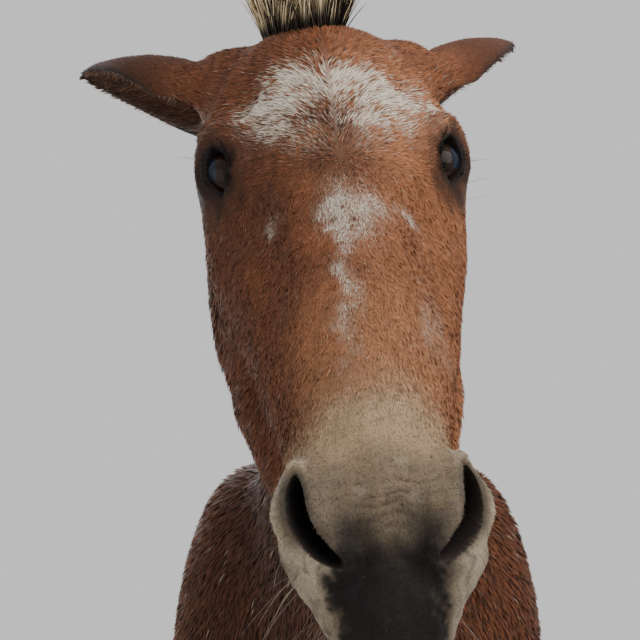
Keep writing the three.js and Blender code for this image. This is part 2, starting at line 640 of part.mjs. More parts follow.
// Tail: a tapering dock with locks hanging from its sides and end
const DOCK = [
  { c: V(0, 800, 1352), n: BACK, w: 40, d: 36 },
  { c: V(0, 872, 1318), n: BACK, w: 36, d: 32 },
  { c: V(0, 915, 1215), n: BACK, w: 28, d: 26 },
  { c: V(0, 930, 1060), n: BACK, w: 20, d: 19 },
  { c: V(0, 932, 930), n: BACK, w: 12, d: 12 },
];
const dockCurve = new THREE.CatmullRomCurve3(DOCK.map((s) => s.c));
const tail = () => {
  const axis = [];
  for (let i = 0; i <= 8; i++) axis.push(dockCurve.getPoint(i / 8));
  const core = raySkin({
    axis,
    up: BACK,
    across: ACROSS,
    field: (p) => chain(p, DOCK, ACROSS),
    limit: 80,
    around: 8,
    startRings: 2,
    endRings: 2,
  });
  const locks = [];
  for (let i = 0; i < TAIL_LOCK_COUNT; i++) {
    const ring = i % 3;
    const t = [0.3, 0.62, 0.92][ring] + spread(-0.03, 0.03);
    const c = dockCurve.getPoint(t);
    const angle = Math.PI * 2 * (Math.floor(i / 3) + ring / 3) / (TAIL_LOCK_COUNT / 3) + spread(-0.15, 0.15);
    const out = V(Math.sin(angle), Math.cos(angle) * 0.8, 0);
    const radius = [26, 18, 9][ring];
    const end = 1330 - TAIL_LENGTH * [0.86, 0.98, 1.04][ring] * spread(0.95, 1.05);
    locks.push(lock({
      root: c.clone().addScaledVector(out, radius),
      grow: V(out.x * 0.1, out.y * 0.08 + 0.02, -1).normalize(),
      flat: V(out.y, -out.x, 0).normalize(),
      bend: V(out.x * -0.06 + spread(-0.02, 0.02), out.y * -0.05 - 0.01, 0),
      length: c.z - end,
      width: TAIL_LOCK_WIDTH * [1.1, 0.9, 0.75][ring] * spread(0.9, 1.1),
      thickness: TAIL_LOCK_THICKNESS * spread(0.9, 1.2),
      segments: 3,
    }));
  }
  return joined(core, locks);
};

// Put the parts together
const parts = [];
const add = (name, shape, look) => parts.push({ name, shape, look });
const cut = (shape, plane, towards) => shape.intersect(block(plane, towards, GAP / 2));

const neckWhole = joined(neckSkin, maneLocks());
add('neck', largest(cut(cut(neckWhole, POLL_PLANE, 1), NECK_PLANE, -1)), COAT);

let headShape = headSkin(0, HEAD_AROUND);
for (const s of [-1, 1]) {
  headShape = headShape.add(ball(eyeSide(s).centre, EYE_RADIUS + LID_THICKNESS, 16, 10, cornea, eyeSide(s).gaze));
  headShape = headShape.add(earStub(s));
}
const headBare = headShape;
for (const s of [-1, 1]) {
  headShape = headShape.subtract(eyeBall(s, GAP)).subtract(lidOpening(s)).subtract(nostril(s));
}
headShape = headShape.subtract(mouth());
headShape = joined(headShape, forelockLocks());
headShape = largest(cut(headShape, POLL_PLANE, -1));

const torsoWhole = torsoSkin(0);
let torsoShape = torsoWhole;
const legs = {};
for (const name of Object.keys(LEGS)) {
  legs[name] = legSkin(name);
  torsoShape = torsoShape.add(legs[name]);
}
torsoShape = largest(cut(cut(torsoShape, NECK_PLANE, 1), LEG_PLANE, -1));

const headSwollen = [headSkin(GAP, HEAD_AROUND), ...[-1, 1].map((s) => earStub(s))];
for (const s of [-1, 1]) {
  const name = s > 0 ? 'ear_left' : 'ear_right';
  let shape = ear(s);
  for (const other of headSwollen) shape = shape.subtract(other);
  shape = shape.subtract(neckWhole);
  shape = largest(shape);
  add(name, shape, DARK_COAT);
}
add('head', headShape, COAT);
add('eye_left', eyeBall(1, 0), EYE);
add('eye_right', eyeBall(-1, 0), EYE);
add('torso', torsoShape, COAT);
for (const name of Object.keys(LEGS)) {
  const plane = coronet(name);
  const lower = cut(cut(legs[name], LEG_PLANE, 1), plane, -1);
  add(name, largest(lower), DARK_COAT);
  add(name.replace('leg', 'hoof').replace('forehoof', 'front_hoof').replace('hindhoof', 'hind_hoof'),
    largest(cut(hoof(name), plane, 1)), HORN);
}
add('tail', largest(tail().subtract(torsoSkin(GAP))), HAIR);

// Move so that the origin is the middle of the bounding box on the ground
const box = new THREE.Box3();
for (const part of parts) {
  const b = part.shape.boundingBox();
  box.expandByPoint(V(...b.min));
  box.expandByPoint(V(...b.max));
}
const middle = box.getCenter(V(0, 0, 0));
const group = new THREE.Group();
group.name = 'mule';
for (const part of parts) {
  const mesh = part.shape.getMesh();
  const count = mesh.vertProperties.length / mesh.numProp;
  const position = new Float32Array(count * 3);
  for (let i = 0; i < count; i++) {
    position[i * 3] = mesh.vertProperties[i * mesh.numProp] - middle.x;
    position[i * 3 + 1] = mesh.vertProperties[i * mesh.numProp + 1] - middle.y;
    position[i * 3 + 2] = mesh.vertProperties[i * mesh.numProp + 2] - box.min.z;
  }
  const geometry = new THREE.BufferGeometry();
  geometry.setAttribute('position', new THREE.BufferAttribute(position, 3));
  geometry.setIndex(new THREE.BufferAttribute(new Uint32Array(mesh.triVerts), 1));
  geometry.computeVertexNormals();
  const node = new THREE.Mesh(geometry, new THREE.MeshStandardMaterial(part.look));
  node.name = part.name;
  group.add(node);
}

export default group;
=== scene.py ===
"""Mule standing at rest: one skin with coat, mane, tail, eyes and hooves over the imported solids."""
import math

import bpy
import numpy as np
from mathutils.kdtree import KDTree
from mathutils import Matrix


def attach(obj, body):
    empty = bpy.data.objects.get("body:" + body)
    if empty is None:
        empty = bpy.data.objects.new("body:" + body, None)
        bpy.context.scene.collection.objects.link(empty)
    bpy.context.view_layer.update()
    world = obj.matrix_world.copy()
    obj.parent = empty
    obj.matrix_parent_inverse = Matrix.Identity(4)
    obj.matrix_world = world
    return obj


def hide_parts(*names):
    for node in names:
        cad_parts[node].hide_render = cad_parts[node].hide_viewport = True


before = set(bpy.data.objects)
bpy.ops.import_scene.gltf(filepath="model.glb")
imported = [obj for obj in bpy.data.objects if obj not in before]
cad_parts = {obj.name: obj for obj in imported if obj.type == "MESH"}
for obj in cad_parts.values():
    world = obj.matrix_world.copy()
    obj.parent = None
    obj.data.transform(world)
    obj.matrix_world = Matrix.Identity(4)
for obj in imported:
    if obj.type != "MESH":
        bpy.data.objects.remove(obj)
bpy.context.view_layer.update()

bl_info = {
    "name": "Mule",
    "version": (1, 0, 0),
    "blender": (4, 5, 0),
    "location": "3D View > Sidebar > Mule",
    "description": "Skin, coat, hair, eyes and hooves of a standing mule",
    "category": "Add Mesh",
}

# Sizes shared with the solids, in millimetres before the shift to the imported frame
PACK_SHIFT = np.array([0.0, 192.104, 0.0])
BODY_SCALE = 1500 / 1450
HEAD_SCALE = 1.05
EYE_PLACE = np.array([81, 199, 57])
EYE_RADIUS = 22.0
LID_THICKNESS = 3.0
EAR_LENGTH = 262.0
EAR_HALF_WIDTH = 50.0
CAMERA_PLACE = (-0.0437, -2.1958, 1.2502)
CAMERA_PITCH = 11.0
CAMERA_LENS = 88.0


def unit(v):
    v = np.asarray(v, float)
    return v / np.maximum(np.linalg.norm(v, axis=-1, keepdims=True), 1e-12)


def smooth(t):
    t = np.clip(t, 0, 1)
    return t * t * (3 - 2 * t)


def mix(a, b, t):
    return a + (b - a) * t


def cover(rows, other, weight):
    """Mix whole rows, such as colours or directions, each by its own weight."""
    return mix(rows, other, weight[:, None])


def bell(x, width):
    return np.exp(-(x / width) ** 2)


FACE_LINE = unit([0.088, -0.492, -0.866])
HEAD_ACROSS = np.array([0.996, 0.055, 0.072])
HEAD_ACROSS = unit(HEAD_ACROSS - FACE_LINE * (HEAD_ACROSS @ FACE_LINE))
HEAD_DEPTH = np.cross(HEAD_ACROSS, FACE_LINE)
HEAD_BASIS = np.stack([HEAD_ACROSS, FACE_LINE, HEAD_DEPTH])
HEAD_ORIGIN = np.array([-50.0, -1073.0, 1832.0])
X_AXIS = np.array([1.0, 0, 0])
Y_AXIS = np.array([0, 1.0, 0])
Z_AXIS = np.array([0, 0, 1.0])


def head_local(p):
    return (p - HEAD_ORIGIN) @ HEAD_BASIS.T / HEAD_SCALE


def head_place(q):
    return HEAD_ORIGIN + HEAD_SCALE * (np.asarray(q, float) @ HEAD_BASIS)


def head_turn(v):
    return unit(np.asarray(v, float) @ HEAD_BASIS)


def to_metres(p):
    return (p + PACK_SHIFT) / 1000


# Fields: below zero inside the flesh, above zero outside, as in the solids
def blend(a, b, k):
    h = np.maximum(k - np.abs(a - b), 0) / k
    return np.minimum(a, b) - h * h * k / 4


def carve(a, b, k):
    return -blend(-a, b, k)


def ellipsoid(p, c, r):
    q = p - np.asarray(c, float)
    r = np.asarray(r, float)
    k0 = np.linalg.norm(q / r, axis=1)
    k1 = np.linalg.norm(q / (r * r), axis=1)
    return k0 * (k0 - 1) / np.maximum(k1, 1e-9)


def chain(p, rows):
    """Tapered elliptical tube through rows of (centre, depth direction, half width, half depth, taper)."""
    best = None
    for i in range(len(rows) - 1):
        a, b = np.asarray(rows[i][0], float), np.asarray(rows[i + 1][0], float)
        ab = b - a
        t = np.clip((p - a) @ ab / (ab @ ab), 0, 1)
        off = p - a - t[:, None] * ab
        d2 = (off * off).sum(1)
        n = unit(cover(np.asarray(rows[i][1], float), np.asarray(rows[i + 1][1], float), t))
        w, d, taper = (mix(rows[i][j], rows[i + 1][j], t) for j in (2, 3, 4))
        depth = (off * n).sum(1)
        new = np.stack([d2, off[:, 0], depth, w, d, taper])
        best = new if best is None else np.where(d2 < best[0], new, best)
    d2, lateral, depth, w, d, taper = best
    rest = np.maximum(d2 - lateral ** 2 - depth ** 2, 0)
    w = w * (1 - taper * smooth(depth / d))
    k = np.sqrt((lateral / w) ** 2 + (depth / d) ** 2 + rest / (w * d))
    return np.where(k < 1e-6, -np.minimum(w, d), np.sqrt(d2) * (1 - 1 / np.maximum(k, 1e-6)))


TRUNK = np.array([
    [-640, 1150, 985, 90], [-600, 1235, 900, 135], [-560, 1290, 850, 162], [-480, 1385, 800, 188],
    [-400, 1446, 775, 200], [-300, 1440, 760, 222], [-150, 1402, 750, 258], [0, 1382, 744, 284],
    [150, 1382, 748, 292], [300, 1400, 775, 284], [420, 1420, 815, 262], [520, 1432, 862, 246],
    [620, 1415, 915, 228], [720, 1368, 980, 192], [790, 1305, 1040, 146], [835, 1235, 1095, 92],
]) * BODY_SCALE
NECK = [
    ((0, -500, 1275), (0, 0.6, 0.8), 150, 228, 0.4), ((-8, -700, 1440), (0, 0.56, 0.83), 98, 174, 0.45),
    ((-26, -850, 1562), (0, 0.53, 0.85), 77, 128, 0.4), ((-42, -965, 1655), (0, 0.49, 0.87), 70, 100, 0.2),
    ((-48, -1012, 1690), (0, 0.49, 0.87), 62, 84, 0),
]
DOCK = [
    ((0, 800, 1352), Y_AXIS, 40, 36, 0), ((0, 872, 1318), Y_AXIS, 36, 32, 0), ((0, 915, 1215), Y_AXIS, 28, 26, 0),
    ((0, 930, 1060), Y_AXIS, 20, 19, 0), ((0, 932, 930), Y_AXIS, 12, 12, 0),
]


def side(rows):
    return [((x, y, z), Z_AXIS, w, d, 0) for x, y, z, w, d in rows]


BRIDGE = side([[0, 190, 54, 64, 52], [0, 330, 46, 50, 46], [0, 480, 40, 40, 39]])
MAXILLA = side([
    [0, 215, 92, 95, 76], [0, 300, 84, 89, 72], [0, 390, 78, 76, 70], [0, 460, 72, 61, 62], [0, 520, 70, 50, 54]])
CREST = side([[90, 135, 74, 15, 15], [84, 260, 90, 14, 14], [66, 360, 92, 10, 10]])
JAW = side([
    [62, 165, 205, 26, 26], [64, 270, 180, 32, 32], [58, 350, 158, 34, 34], [42, 430, 140, 30, 30],
    [22, 520, 130, 24, 24]])
FORE_ROWS = np.array([
    [138, -462, 980, 58, 90], [144, -448, 890, 60, 96], [148, -437, 800, 57, 80], [146, -432, 700, 51, 62],
    [143, -431, 600, 44, 50], [141, -431, 520, 41, 43], [140, -433, 472, 45, 44], [140, -434, 435, 47, 47],
    [139, -430, 395, 41, 40], [138, -426, 345, 32, 36], [136, -424, 250, 30, 34], [135, -424, 195, 33, 38],
    [135, -422, 160, 38, 43], [134, -432, 130, 34, 36], [133, -446, 100, 33, 34], [132, -460, 72, 38, 40],
    [131, -470, 50, 44, 47]], float)
HIND_ROWS = np.array([
    [144, 650, 980, 66, 135], [152, 662, 900, 74, 145], [156, 686, 820, 68, 119], [154, 716, 740, 58, 90],
    [150, 748, 680, 49, 70], [146, 778, 630, 41, 58], [144, 800, 592, 41, 64], [142, 808, 552, 44, 60],
    [141, 806, 510, 42, 51], [140, 802, 460, 35, 42], [139, 800, 400, 31, 38], [138, 800, 300, 30, 36],
    [137, 800, 220, 33, 38], [136, 799, 175, 40, 45], [136, 789, 140, 35, 38], [135, 773, 105, 33, 35],
    [134, 759, 76, 38, 41], [133, 749, 54, 44, 48]], float)


def leg_rows(s, forward, rows):
    rows = rows.copy()
    rows[:, 0] *= s
    rows[:, 1] -= forward * np.clip((1050 - rows[:, 2]) / 1000, 0, 1)
    return rows


LEGS = {
    "foreleg_left": leg_rows(1, 30, FORE_ROWS), "foreleg_right": leg_rows(-1, -15, FORE_ROWS),
    "hindleg_left": leg_rows(1, -20, HIND_ROWS), "hindleg_right": leg_rows(-1, 60, HIND_ROWS),
}
HOOF_OF = {
    "foreleg_left": "front_hoof_left", "foreleg_right": "front_hoof_right",
    "hindleg_left": "hind_hoof_left", "hindleg_right": "hind_hoof_right",
}


def mirrored(q):
    """The same points, all moved to the left side."""
    q = q.copy()
    q[:, 0] = np.abs(q[:, 0])
    return q


def trunk_field(p):
    last = len(TRUNK) - 1
    y = np.clip(p[:, 1], TRUNK[0, 0], TRUNK[last, 0])
    i = np.clip(np.searchsorted(TRUNK[:, 0], y, side="left") - 1, 0, last - 1)
    raw = (y - TRUNK[i, 0]) / (TRUNK[i + 1, 0] - TRUNK[i, 0])
    t = smooth(raw) * 0.35 + raw * 0.65
    top, bottom, half = (mix(TRUNK[i, j], TRUNK[i + 1, j], t) for j in (1, 2, 3))
    over = np.maximum(np.maximum(TRUNK[0, 0] - p[:, 1], p[:, 1] - TRUNK[last, 0]), 0)
    widest = mix(bottom, top, 0.44)
    dz = p[:, 2] - widest
    e = np.where(dz > 0, mix(2.15, 1.65, smooth((-150 - p[:, 1]) / 300)), 2.1)
    h = np.where(dz > 0, top - widest, widest - bottom)
    k = (np.abs(p[:, 0] / half) ** e + np.abs(dz / h) ** e) ** (1 / e)
    r = np.hypot(p[:, 0], dz)
    flat = np.where(k < 1e-6, -np.minimum(half, h), r * (1 - 1 / np.maximum(k, 1e-6)))
    return np.where(over > 0, np.hypot(np.maximum(flat, 0), over), flat)


def leg_field(p, rows):
    z = p[:, 2]
    c = [np.interp(-z, -rows[:, 2], rows[:, j]) for j in (0, 1, 3, 4)]
    x, y = p[:, 0] - c[0], p[:, 1] - c[1]
    k = np.sqrt((x / c[2]) ** 2 + (y / c[3]) ** 2)
    flat = np.where(k < 1e-6, -20, np.hypot(x, y) * (1 - 1 / np.maximum(k, 1e-6)))
    over = np.maximum(np.maximum(z - 985, 46 - z), 0)
    return np.where(over > 0, np.hypot(np.maximum(flat, 0), over), flat)


def head_field(p):
    q = head_local(p)
    m = mirrored(q)
    f = ellipsoid(q, [0, 114, 86], [95, 98, 80])
    f = blend(f, ellipsoid(q, [0, 182, 66], [100, 98, 64]), 24)
    f = blend(f, chain(q, BRIDGE), 22)
    f = blend(f, chain(q, MAXILLA), 26)
    f = blend(f, ellipsoid(m, [68, 195, 158], [38, 118, 96]), 34)
    f = blend(f, chain(m, JAW), 22)
    f = blend(f, ellipsoid(q, [0, 125, 160], [62, 105, 78]), 36)
    f = blend(f, chain(m, CREST), 18)
    f = blend(f, ellipsoid(m, [84, 188, 52], [26, 40, 33]), 16)
    f = carve(f, ellipsoid(m, [74, 128, 22], [16, 26, 12]), 24)
    f = carve(f, ellipsoid(m, [88, 312, 20], [26, 60, 18]), 30)
    f = blend(f, ellipsoid(m, [39, 540, 50], [32, 52, 42]), 16)
    f = blend(f, ellipsoid(q, [0, 535, 34], [34, 46, 30]), 16)
    f = blend(f, ellipsoid(q, [0, 590, 76], [45, 40, 40]), 22)
    f = blend(f, ellipsoid(q, [0, 572, 120], [35, 40, 25]), 14)
    f = blend(f, ellipsoid(q, [0, 545, 138], [30, 34, 25]), 18)
    f = blend(f, ellipsoid(m, [76, 52, 94], [33, 42, 42]), 24)
    f = blend(f, np.linalg.norm(m - EYE_PLACE, axis=1) - (EYE_RADIUS + LID_THICKNESS) / HEAD_SCALE, 7)
    return f * HEAD_SCALE


def flesh(p):
    """The whole animal as one field."""
    q = mirrored(p)
    f = trunk_field(p)
    f = blend(f, chain(p, NECK), 70)
    front = blend(f, ellipsoid(q, [128, -500, 1200], [92, 140, 250]), 70)
    front = blend(front, ellipsoid(q, [118, -590, 1075], [82, 92, 110]), 60)
    rear = blend(f, ellipsoid(q, [132, 640, 1200], [118, 215, 215]), 80)
    rear = blend(rear, ellipsoid(q, [146, 628, 985], [86, 175, 205]), 70)
    f = np.where(p[:, 1] < -150, front, np.where(p[:, 1] > 250, rear, f))
    for rows in LEGS.values():
        f = blend(f, leg_field(p, rows), 40)
    f = blend(f, chain(p, DOCK), 24)
    near = np.flatnonzero(p[:, 1] < -700)
    if len(near):
        f[near] = blend(f[near], head_field(p[near]), 34)
    return f


def in_chunks(function, p, size=250000):
    return np.concatenate([function(p[i:i + size]) for i in range(0, len(p), size)])


def eye_gap(q, centre=EYE_PLACE, stretch=1.0):
    """Distance from head points to the middle of the nearer eye."""
    return np.linalg.norm((mirrored(q) - centre) / stretch, axis=1)


def coat_depth(p):
    """How far the skin lies below the tips of the coat."""
    q = head_local(p)
    inside_head = smooth((-780 - p[:, 1]) / 90) * smooth((p[:, 2] - 1180) / 60)
    face = mix(2.6, 1.2, smooth((q[:, 1] - 440) / 80))
    face = mix(0.9, face, smooth((eye_gap(q) - 26) / 22))
    low = mix(3.5, 6.0, smooth((p[:, 2] - 500) / 350))
    return mix(low, face, inside_head)


def skin_field(p):
    return flesh(p) + coat_depth(p)


def gradient(field, p, step=0.6):
    g = np.empty_like(p)
    for i in range(3):
        d = np.zeros(3)
        d[i] = step
        g[:, i] = (in_chunks(field, p + d) - in_chunks(field, p - d)) / (2 * step)
    return g


def settle(field, p, rounds=4):
    """Move points on to the surface of a field."""
    for _ in range(rounds):
        g = gradient(field, p)
        f = in_chunks(field, p)
        p = p - np.clip(f / np.maximum((g * g).sum(1), 0.05), -12, 12)[:, None] * g
    return p


def reach(origin, direction, field, limit):
    """Distance from inside points along a direction to the surface."""
    origin, direction = np.atleast_2d(origin), np.atleast_2d(direction)
    near, far = np.zeros(len(origin)), np.full(len(origin), float(limit))
    step = 3.0
    found = np.zeros(len(origin), bool)
    for r in np.arange(step, limit, step):
        out = (field(origin + direction * r) > 0) & ~found
        far[out] = r
        near[out] = r - step
        found |= out
        if found.all():
            break
    for _ in range(14):
        middle = (near + far) / 2
        out = field(origin + direction * middle[:, None]) > 0
        far, near = np.where(out, middle, far), np.where(out, near, middle)
    return near


def surface_net(field, low, high, step):
    """Even quads round a field, found on a grid of cubes."""
    counts = np.ceil((np.asarray(high) - low) / step).astype(int) + 1
    axes = [low[i] + step * np.arange(counts[i]) for i in range(3)]
    grid = np.stack(np.meshgrid(*axes, indexing="ij"), -1)
    skip = 5
    coarse = grid[::skip, ::skip, ::skip]
    rough = in_chunks(field, coarse.reshape(-1, 3)).reshape(coarse.shape[:3])
    index = [np.minimum((np.arange(n) + skip // 2) // skip, rough.shape[i] - 1) for i, n in enumerate(counts)]
    value = rough[np.ix_(*index)]
    close = np.abs(value) < step * skip * 1.4
    value[close] = in_chunks(field, grid[close])
    inside = value < 0
    total = np.zeros(tuple(counts - 1) + (3,))
    hits = np.zeros(tuple(counts - 1))
    crossings = []
    whole, low_part, high_part = slice(None), slice(None, -1), slice(1, None)
    for axis in range(3):
        a = tuple(low_part if i == axis else whole for i in range(3))
        b = tuple(high_part if i == axis else whole for i in range(3))
        cross = inside[a] != inside[b]
        t = value[a] / np.where(cross, value[a] - value[b], 1)
        point = grid[a].copy()
        point[..., axis] += t * step
        point *= cross[..., None]
        others = [i for i in range(3) if i != axis]
        for u in (low_part, high_part):
            for v in (low_part, high_part):
                part = [whole] * 3
                part[others[0]], part[others[1]] = u, v
                total += point[tuple(part)]
                hits += cross[tuple(part)]
        crossings.append((axis, others, cross, inside[a]))
    active = hits > 0
    number = np.cumsum(active.ravel()).reshape(active.shape) - 1
    points = total[active] / hits[active][:, None]
    faces = []
    for axis, others, cross, start in crossings:
        where = np.argwhere(cross)
        keep = (where[:, others[0]] > 0) & (where[:, others[1]] > 0)
        keep &= (where[:, others[0]] < counts[others[0]] - 1) & (where[:, others[1]] < counts[others[1]] - 1)
        where = where[keep]
        corner = []
        for u, v in ((1, 1), (0, 1), (0, 0), (1, 0)):
            c = where.copy()
            c[:, others[0]] -= u
            c[:, others[1]] -= v
            corner.append(number[tuple(c.T)])
        quad = np.stack(corner, 1)
        flip = start[tuple(where.T)] == (axis == 1)
        quad[flip] = quad[flip][:, ::-1]
        faces.append(quad)
    return points, np.concatenate(faces)


# Meshes
def new_object(name, points, faces, corners=None):
    """A mesh object from points in metres and faces, given as a table or as corners with face lengths."""
    mesh = bpy.data.meshes.new(name)
    points = np.asarray(points, np.float32)
    mesh.vertices.add(len(points))
    mesh.vertices.foreach_set("co", points.ravel())
    if corners is None:
        lengths = np.array([len(f) for f in faces], np.int32)
        corners = np.concatenate([np.asarray(f, np.int32) for f in faces]) if len(set(lengths)) > 1 else \
            np.asarray(faces, np.int32).ravel()
    else:
        lengths = np.asarray(faces, np.int32)
    mesh.loops.add(len(corners))
    mesh.loops.foreach_set("vertex_index", np.asarray(corners, np.int32))
    mesh.polygons.add(len(lengths))
    mesh.polygons.foreach_set("loop_start", np.concatenate([[0], np.cumsum(lengths)[:-1]]).astype(np.int32))
    mesh.update(calc_edges=True)
    mesh.validate()
    obj = bpy.data.objects.new(name, mesh)
    bpy.context.scene.collection.objects.link(obj)
    mesh.shade_smooth()
    return obj


def points_of(obj):
    co = np.empty(len(obj.data.vertices) * 3, np.float32)
    obj.data.vertices.foreach_get("co", co)
    return co.reshape(-1, 3).astype(float) * 1000 - PACK_SHIFT


def set_points(obj, p):
    obj.data.vertices.foreach_set("co", to_metres(p).astype(np.float32).ravel())
    obj.data.update()


def edges_of(obj):
    e = np.empty(len(obj.data.edges) * 2, np.int32)
    obj.data.edges.foreach_get("vertices", e)
    return e.reshape(-1, 2)


def normals_of(obj):
    n = np.empty(len(obj.data.vertices) * 3, np.float32)
    obj.data.vertices.foreach_get("normal", n)
    return n.reshape(-1, 3).astype(float)


def even_out(obj, weight, rounds):
    """Move each point towards the mean of its neighbours, by its weight."""
    p, e = points_of(obj), edges_of(obj)
    count = np.bincount(e.ravel(), minlength=len(p))[:, None]
    for _ in range(rounds):
        total = np.stack([
            np.bincount(e[:, 0], p[e[:, 1], i], len(p)) + np.bincount(e[:, 1], p[e[:, 0], i], len(p))
            for i in range(3)], 1)
        p = cover(p, total / np.maximum(count, 1), weight)
    set_points(obj, p)


def only(obj):
    bpy.ops.object.select_all(action="DESELECT")
    obj.select_set(True)
    bpy.context.view_layer.objects.active = obj


def divide(obj, chosen):
    """Subdivide the edges between chosen points once."""
    only(obj)
    bpy.ops.object.mode_set(mode="EDIT")
    bpy.ops.mesh.select_mode(type="VERT")
    bpy.ops.mesh.select_all(action="DESELECT")
    bpy.ops.object.mode_set(mode="OBJECT")
    obj.data.vertices.foreach_set("select", chosen)
    e = edges_of(obj)
    obj.data.edges.foreach_set("select", chosen[e[:, 0]] & chosen[e[:, 1]])
    bpy.ops.object.mode_set(mode="EDIT")
    bpy.ops.mesh.subdivide(number_cuts=1)
    bpy.ops.object.mode_set(mode="OBJECT")


def combine(obj, other, how):
    """Boolean with another closed mesh, which is then removed."""
    only(obj)
    modifier = obj.modifiers.new("cut", "BOOLEAN")
    modifier.operation = how
    modifier.object = other
    modifier.solver = "MANIFOLD"
    bpy.ops.object.modifier_apply(modifier="cut")
    bpy.data.objects.remove(other)


def tube(name, rings, cap_start=None, cap_end=None):
    """Closed tube through rings of points, all of the same count."""
    rings = np.asarray(rings, float)
    rows, around = rings.shape[:2]
    start = rings[0].mean(0) if cap_start is None else cap_start
    end = rings[-1].mean(0) if cap_end is None else cap_end
    points = np.concatenate([rings.reshape(-1, 3), [start, end]])
    k = np.arange(around)
    after = (k + 1) % around
    faces = []
    for r in range(rows - 1):
        low, high = r * around, (r + 1) * around
        faces += np.stack([low + k, low + after, high + after, high + k], 1).tolist()
    first_end, last_end, last_ring = rows * around, rows * around + 1, (rows - 1) * around
    faces += [[first_end, int(b), int(a)] for a, b in zip(k, after)]
    faces += [[last_end, last_ring + int(a), last_ring + int(b)] for a, b in zip(k, after)]
    tri = points[[f[0] for f in faces]], points[[f[1] for f in faces]], points[[f[2] for f in faces]]
    if np.einsum("ij,ij->i", tri[0], np.cross(tri[1], tri[2])).sum() < 0:
        faces = [f[::-1] for f in faces]
    return new_object(name, to_metres(points), faces)


def rounded(outline, count):
    """Closed smooth curve through the corners of an outline."""
    outline = np.asarray(outline, float)
    n = len(outline)
    t = np.arange(count) * n / count
    i, f = t.astype(int), (t % 1)[:, None]
    a, b, c, d = (outline[(i + j) % n] for j in (-1, 0, 1, 2))
    return 0.5 * (2 * b + (c - a) * f + (2 * a - 5 * b + 4 * c - d) * f ** 2 + (3 * b - a - 3 * c + d) * f ** 3)


def outline_distance(xy, outline):
    """Distance to a closed outline, below zero inside."""
    a, b = outline, np.roll(outline, -1, 0)
    best = np.full(len(xy), 1e9)
    inside = np.zeros(len(xy), bool)
    for s, e in zip(a, b):
        d = e - s
        t = np.clip((xy - s) @ d / (d @ d), 0, 1)
        best = np.minimum(best, np.linalg.norm(xy - s - t[:, None] * d, axis=1))
        crossing = ((s[1] > xy[:, 1]) != (e[1] > xy[:, 1]))
        at = s[0] + (xy[:, 1] - s[1]) * d[0] / (d[1] if abs(d[1]) > 1e-9 else 1e-9)
        inside ^= crossing & (xy[:, 0] < at)
    return np.where(inside, -best, best)


# Nostrils, eyes, mouth and ears, from the same sizes as the solids
NOSTRIL = rounded([
    [53, 508], [59, 514], [62, 526], [61, 545], [53, 564], [43, 576], [32, 581],
    [31, 574], [38, 562], [45, 547], [48, 533], [49, 520]], 60)


def nostril_distance(q):
    """Distance to the edge of the nearer nostril, for head points."""
    s = np.where(q[:, 0] < 0, -1.0, 1.0)
    t = (q[:, 2] - 30) / 0.82
    xy = np.stack([q[:, 0] * s + 0.14 * t, q[:, 1] + 0.55 * t], 1)
    return outline_distance(xy, NOSTRIL)


def nostril_cutter(s):
    inward = np.array([-0.14 * s, -0.55, 0.82])
    middle = np.array([s * 46, 545, 30.0])
    rings = []
    for travel, scale in ((-60, 1), (-20, 1), (0, 1), (14, 0.97), (26, 0.88), (38, 0.72), (48, 0.5), (54, 0.25)):
        ring = np.stack([NOSTRIL[:, 0] * s, NOSTRIL[:, 1], np.full(len(NOSTRIL), 30.0)], 1)
        rings.append(head_place((ring - middle) * scale + middle + inward * travel))
    return tube("nostril_cut", rings)


def eye_axes(s):
    centre = head_place(EYE_PLACE * [s, 1, 1])
    gaze = head_turn([s * 0.79, 0.04, -0.61])
    along = head_turn([0, 0.97, 0.1])
    along = unit(along - gaze * (along @ gaze))
    lift = np.cross(gaze, along)
    if lift @ HEAD_DEPTH > 0:
        lift = -lift
    return centre, gaze, along, lift


LID_TURN = math.radians(18)
LID_DROP = 0.20
LID_HALF, LID_UPPER, LID_LOWER = 21.0, 13.0, 10.0


def lid_distance(a, b):
    """Distance to the edge of the almond between the lids, below zero in the opening."""
    top = (LID_HALF ** 2 + LID_UPPER ** 2) / (2 * LID_UPPER)
    low = (LID_HALF ** 2 + LID_LOWER ** 2) / (2 * LID_LOWER)
    upper = np.hypot(a, b - (LID_UPPER - top)) - top
    lower = np.hypot(a, b + (LID_LOWER - low)) - low
    return np.maximum(upper, lower)


def lid_axes(s):
    """The almond between the lids looks a little further forward than the ball."""
    centre, gaze, along, lift = eye_axes(s)
    turned = unit(gaze * math.cos(LID_TURN) + lift * math.sin(LID_TURN) + along * LID_DROP)
    along = unit(along - turned * (along @ turned))
    return centre, turned, along, unit(lift - turned * (lift @ turned) - along * (lift @ along))


# Folds round the eye: rise, distance from the lid's edge, lean, thickness, middle and half length
UPPER_FOLDS = ((-2.2, 9.5, 0.03, 2.0, 0, 26), (3.2, 17, 0, 6, -4, 24), (-1.5, 24, 0.12, 2.2, -4, 26))
LOWER_FOLDS = ((-1.6, 7.5, 0, 1.8, 0, 22), (1.2, 12, 0, 3.0, 0, 24), (-0.6, 17, 0, 2.0, 0, 24))


def lid_view(p, s):
    """Points seen from the eye: offset, distance, how far ahead, place across the lids, gap to their edge."""
    centre, gaze, along, lift = lid_axes(s)
    r = p - centre
    a, b = r @ along, r @ lift + 1
    return r, np.linalg.norm(r, axis=1), r @ gaze, a, b, lid_distance(a, b)


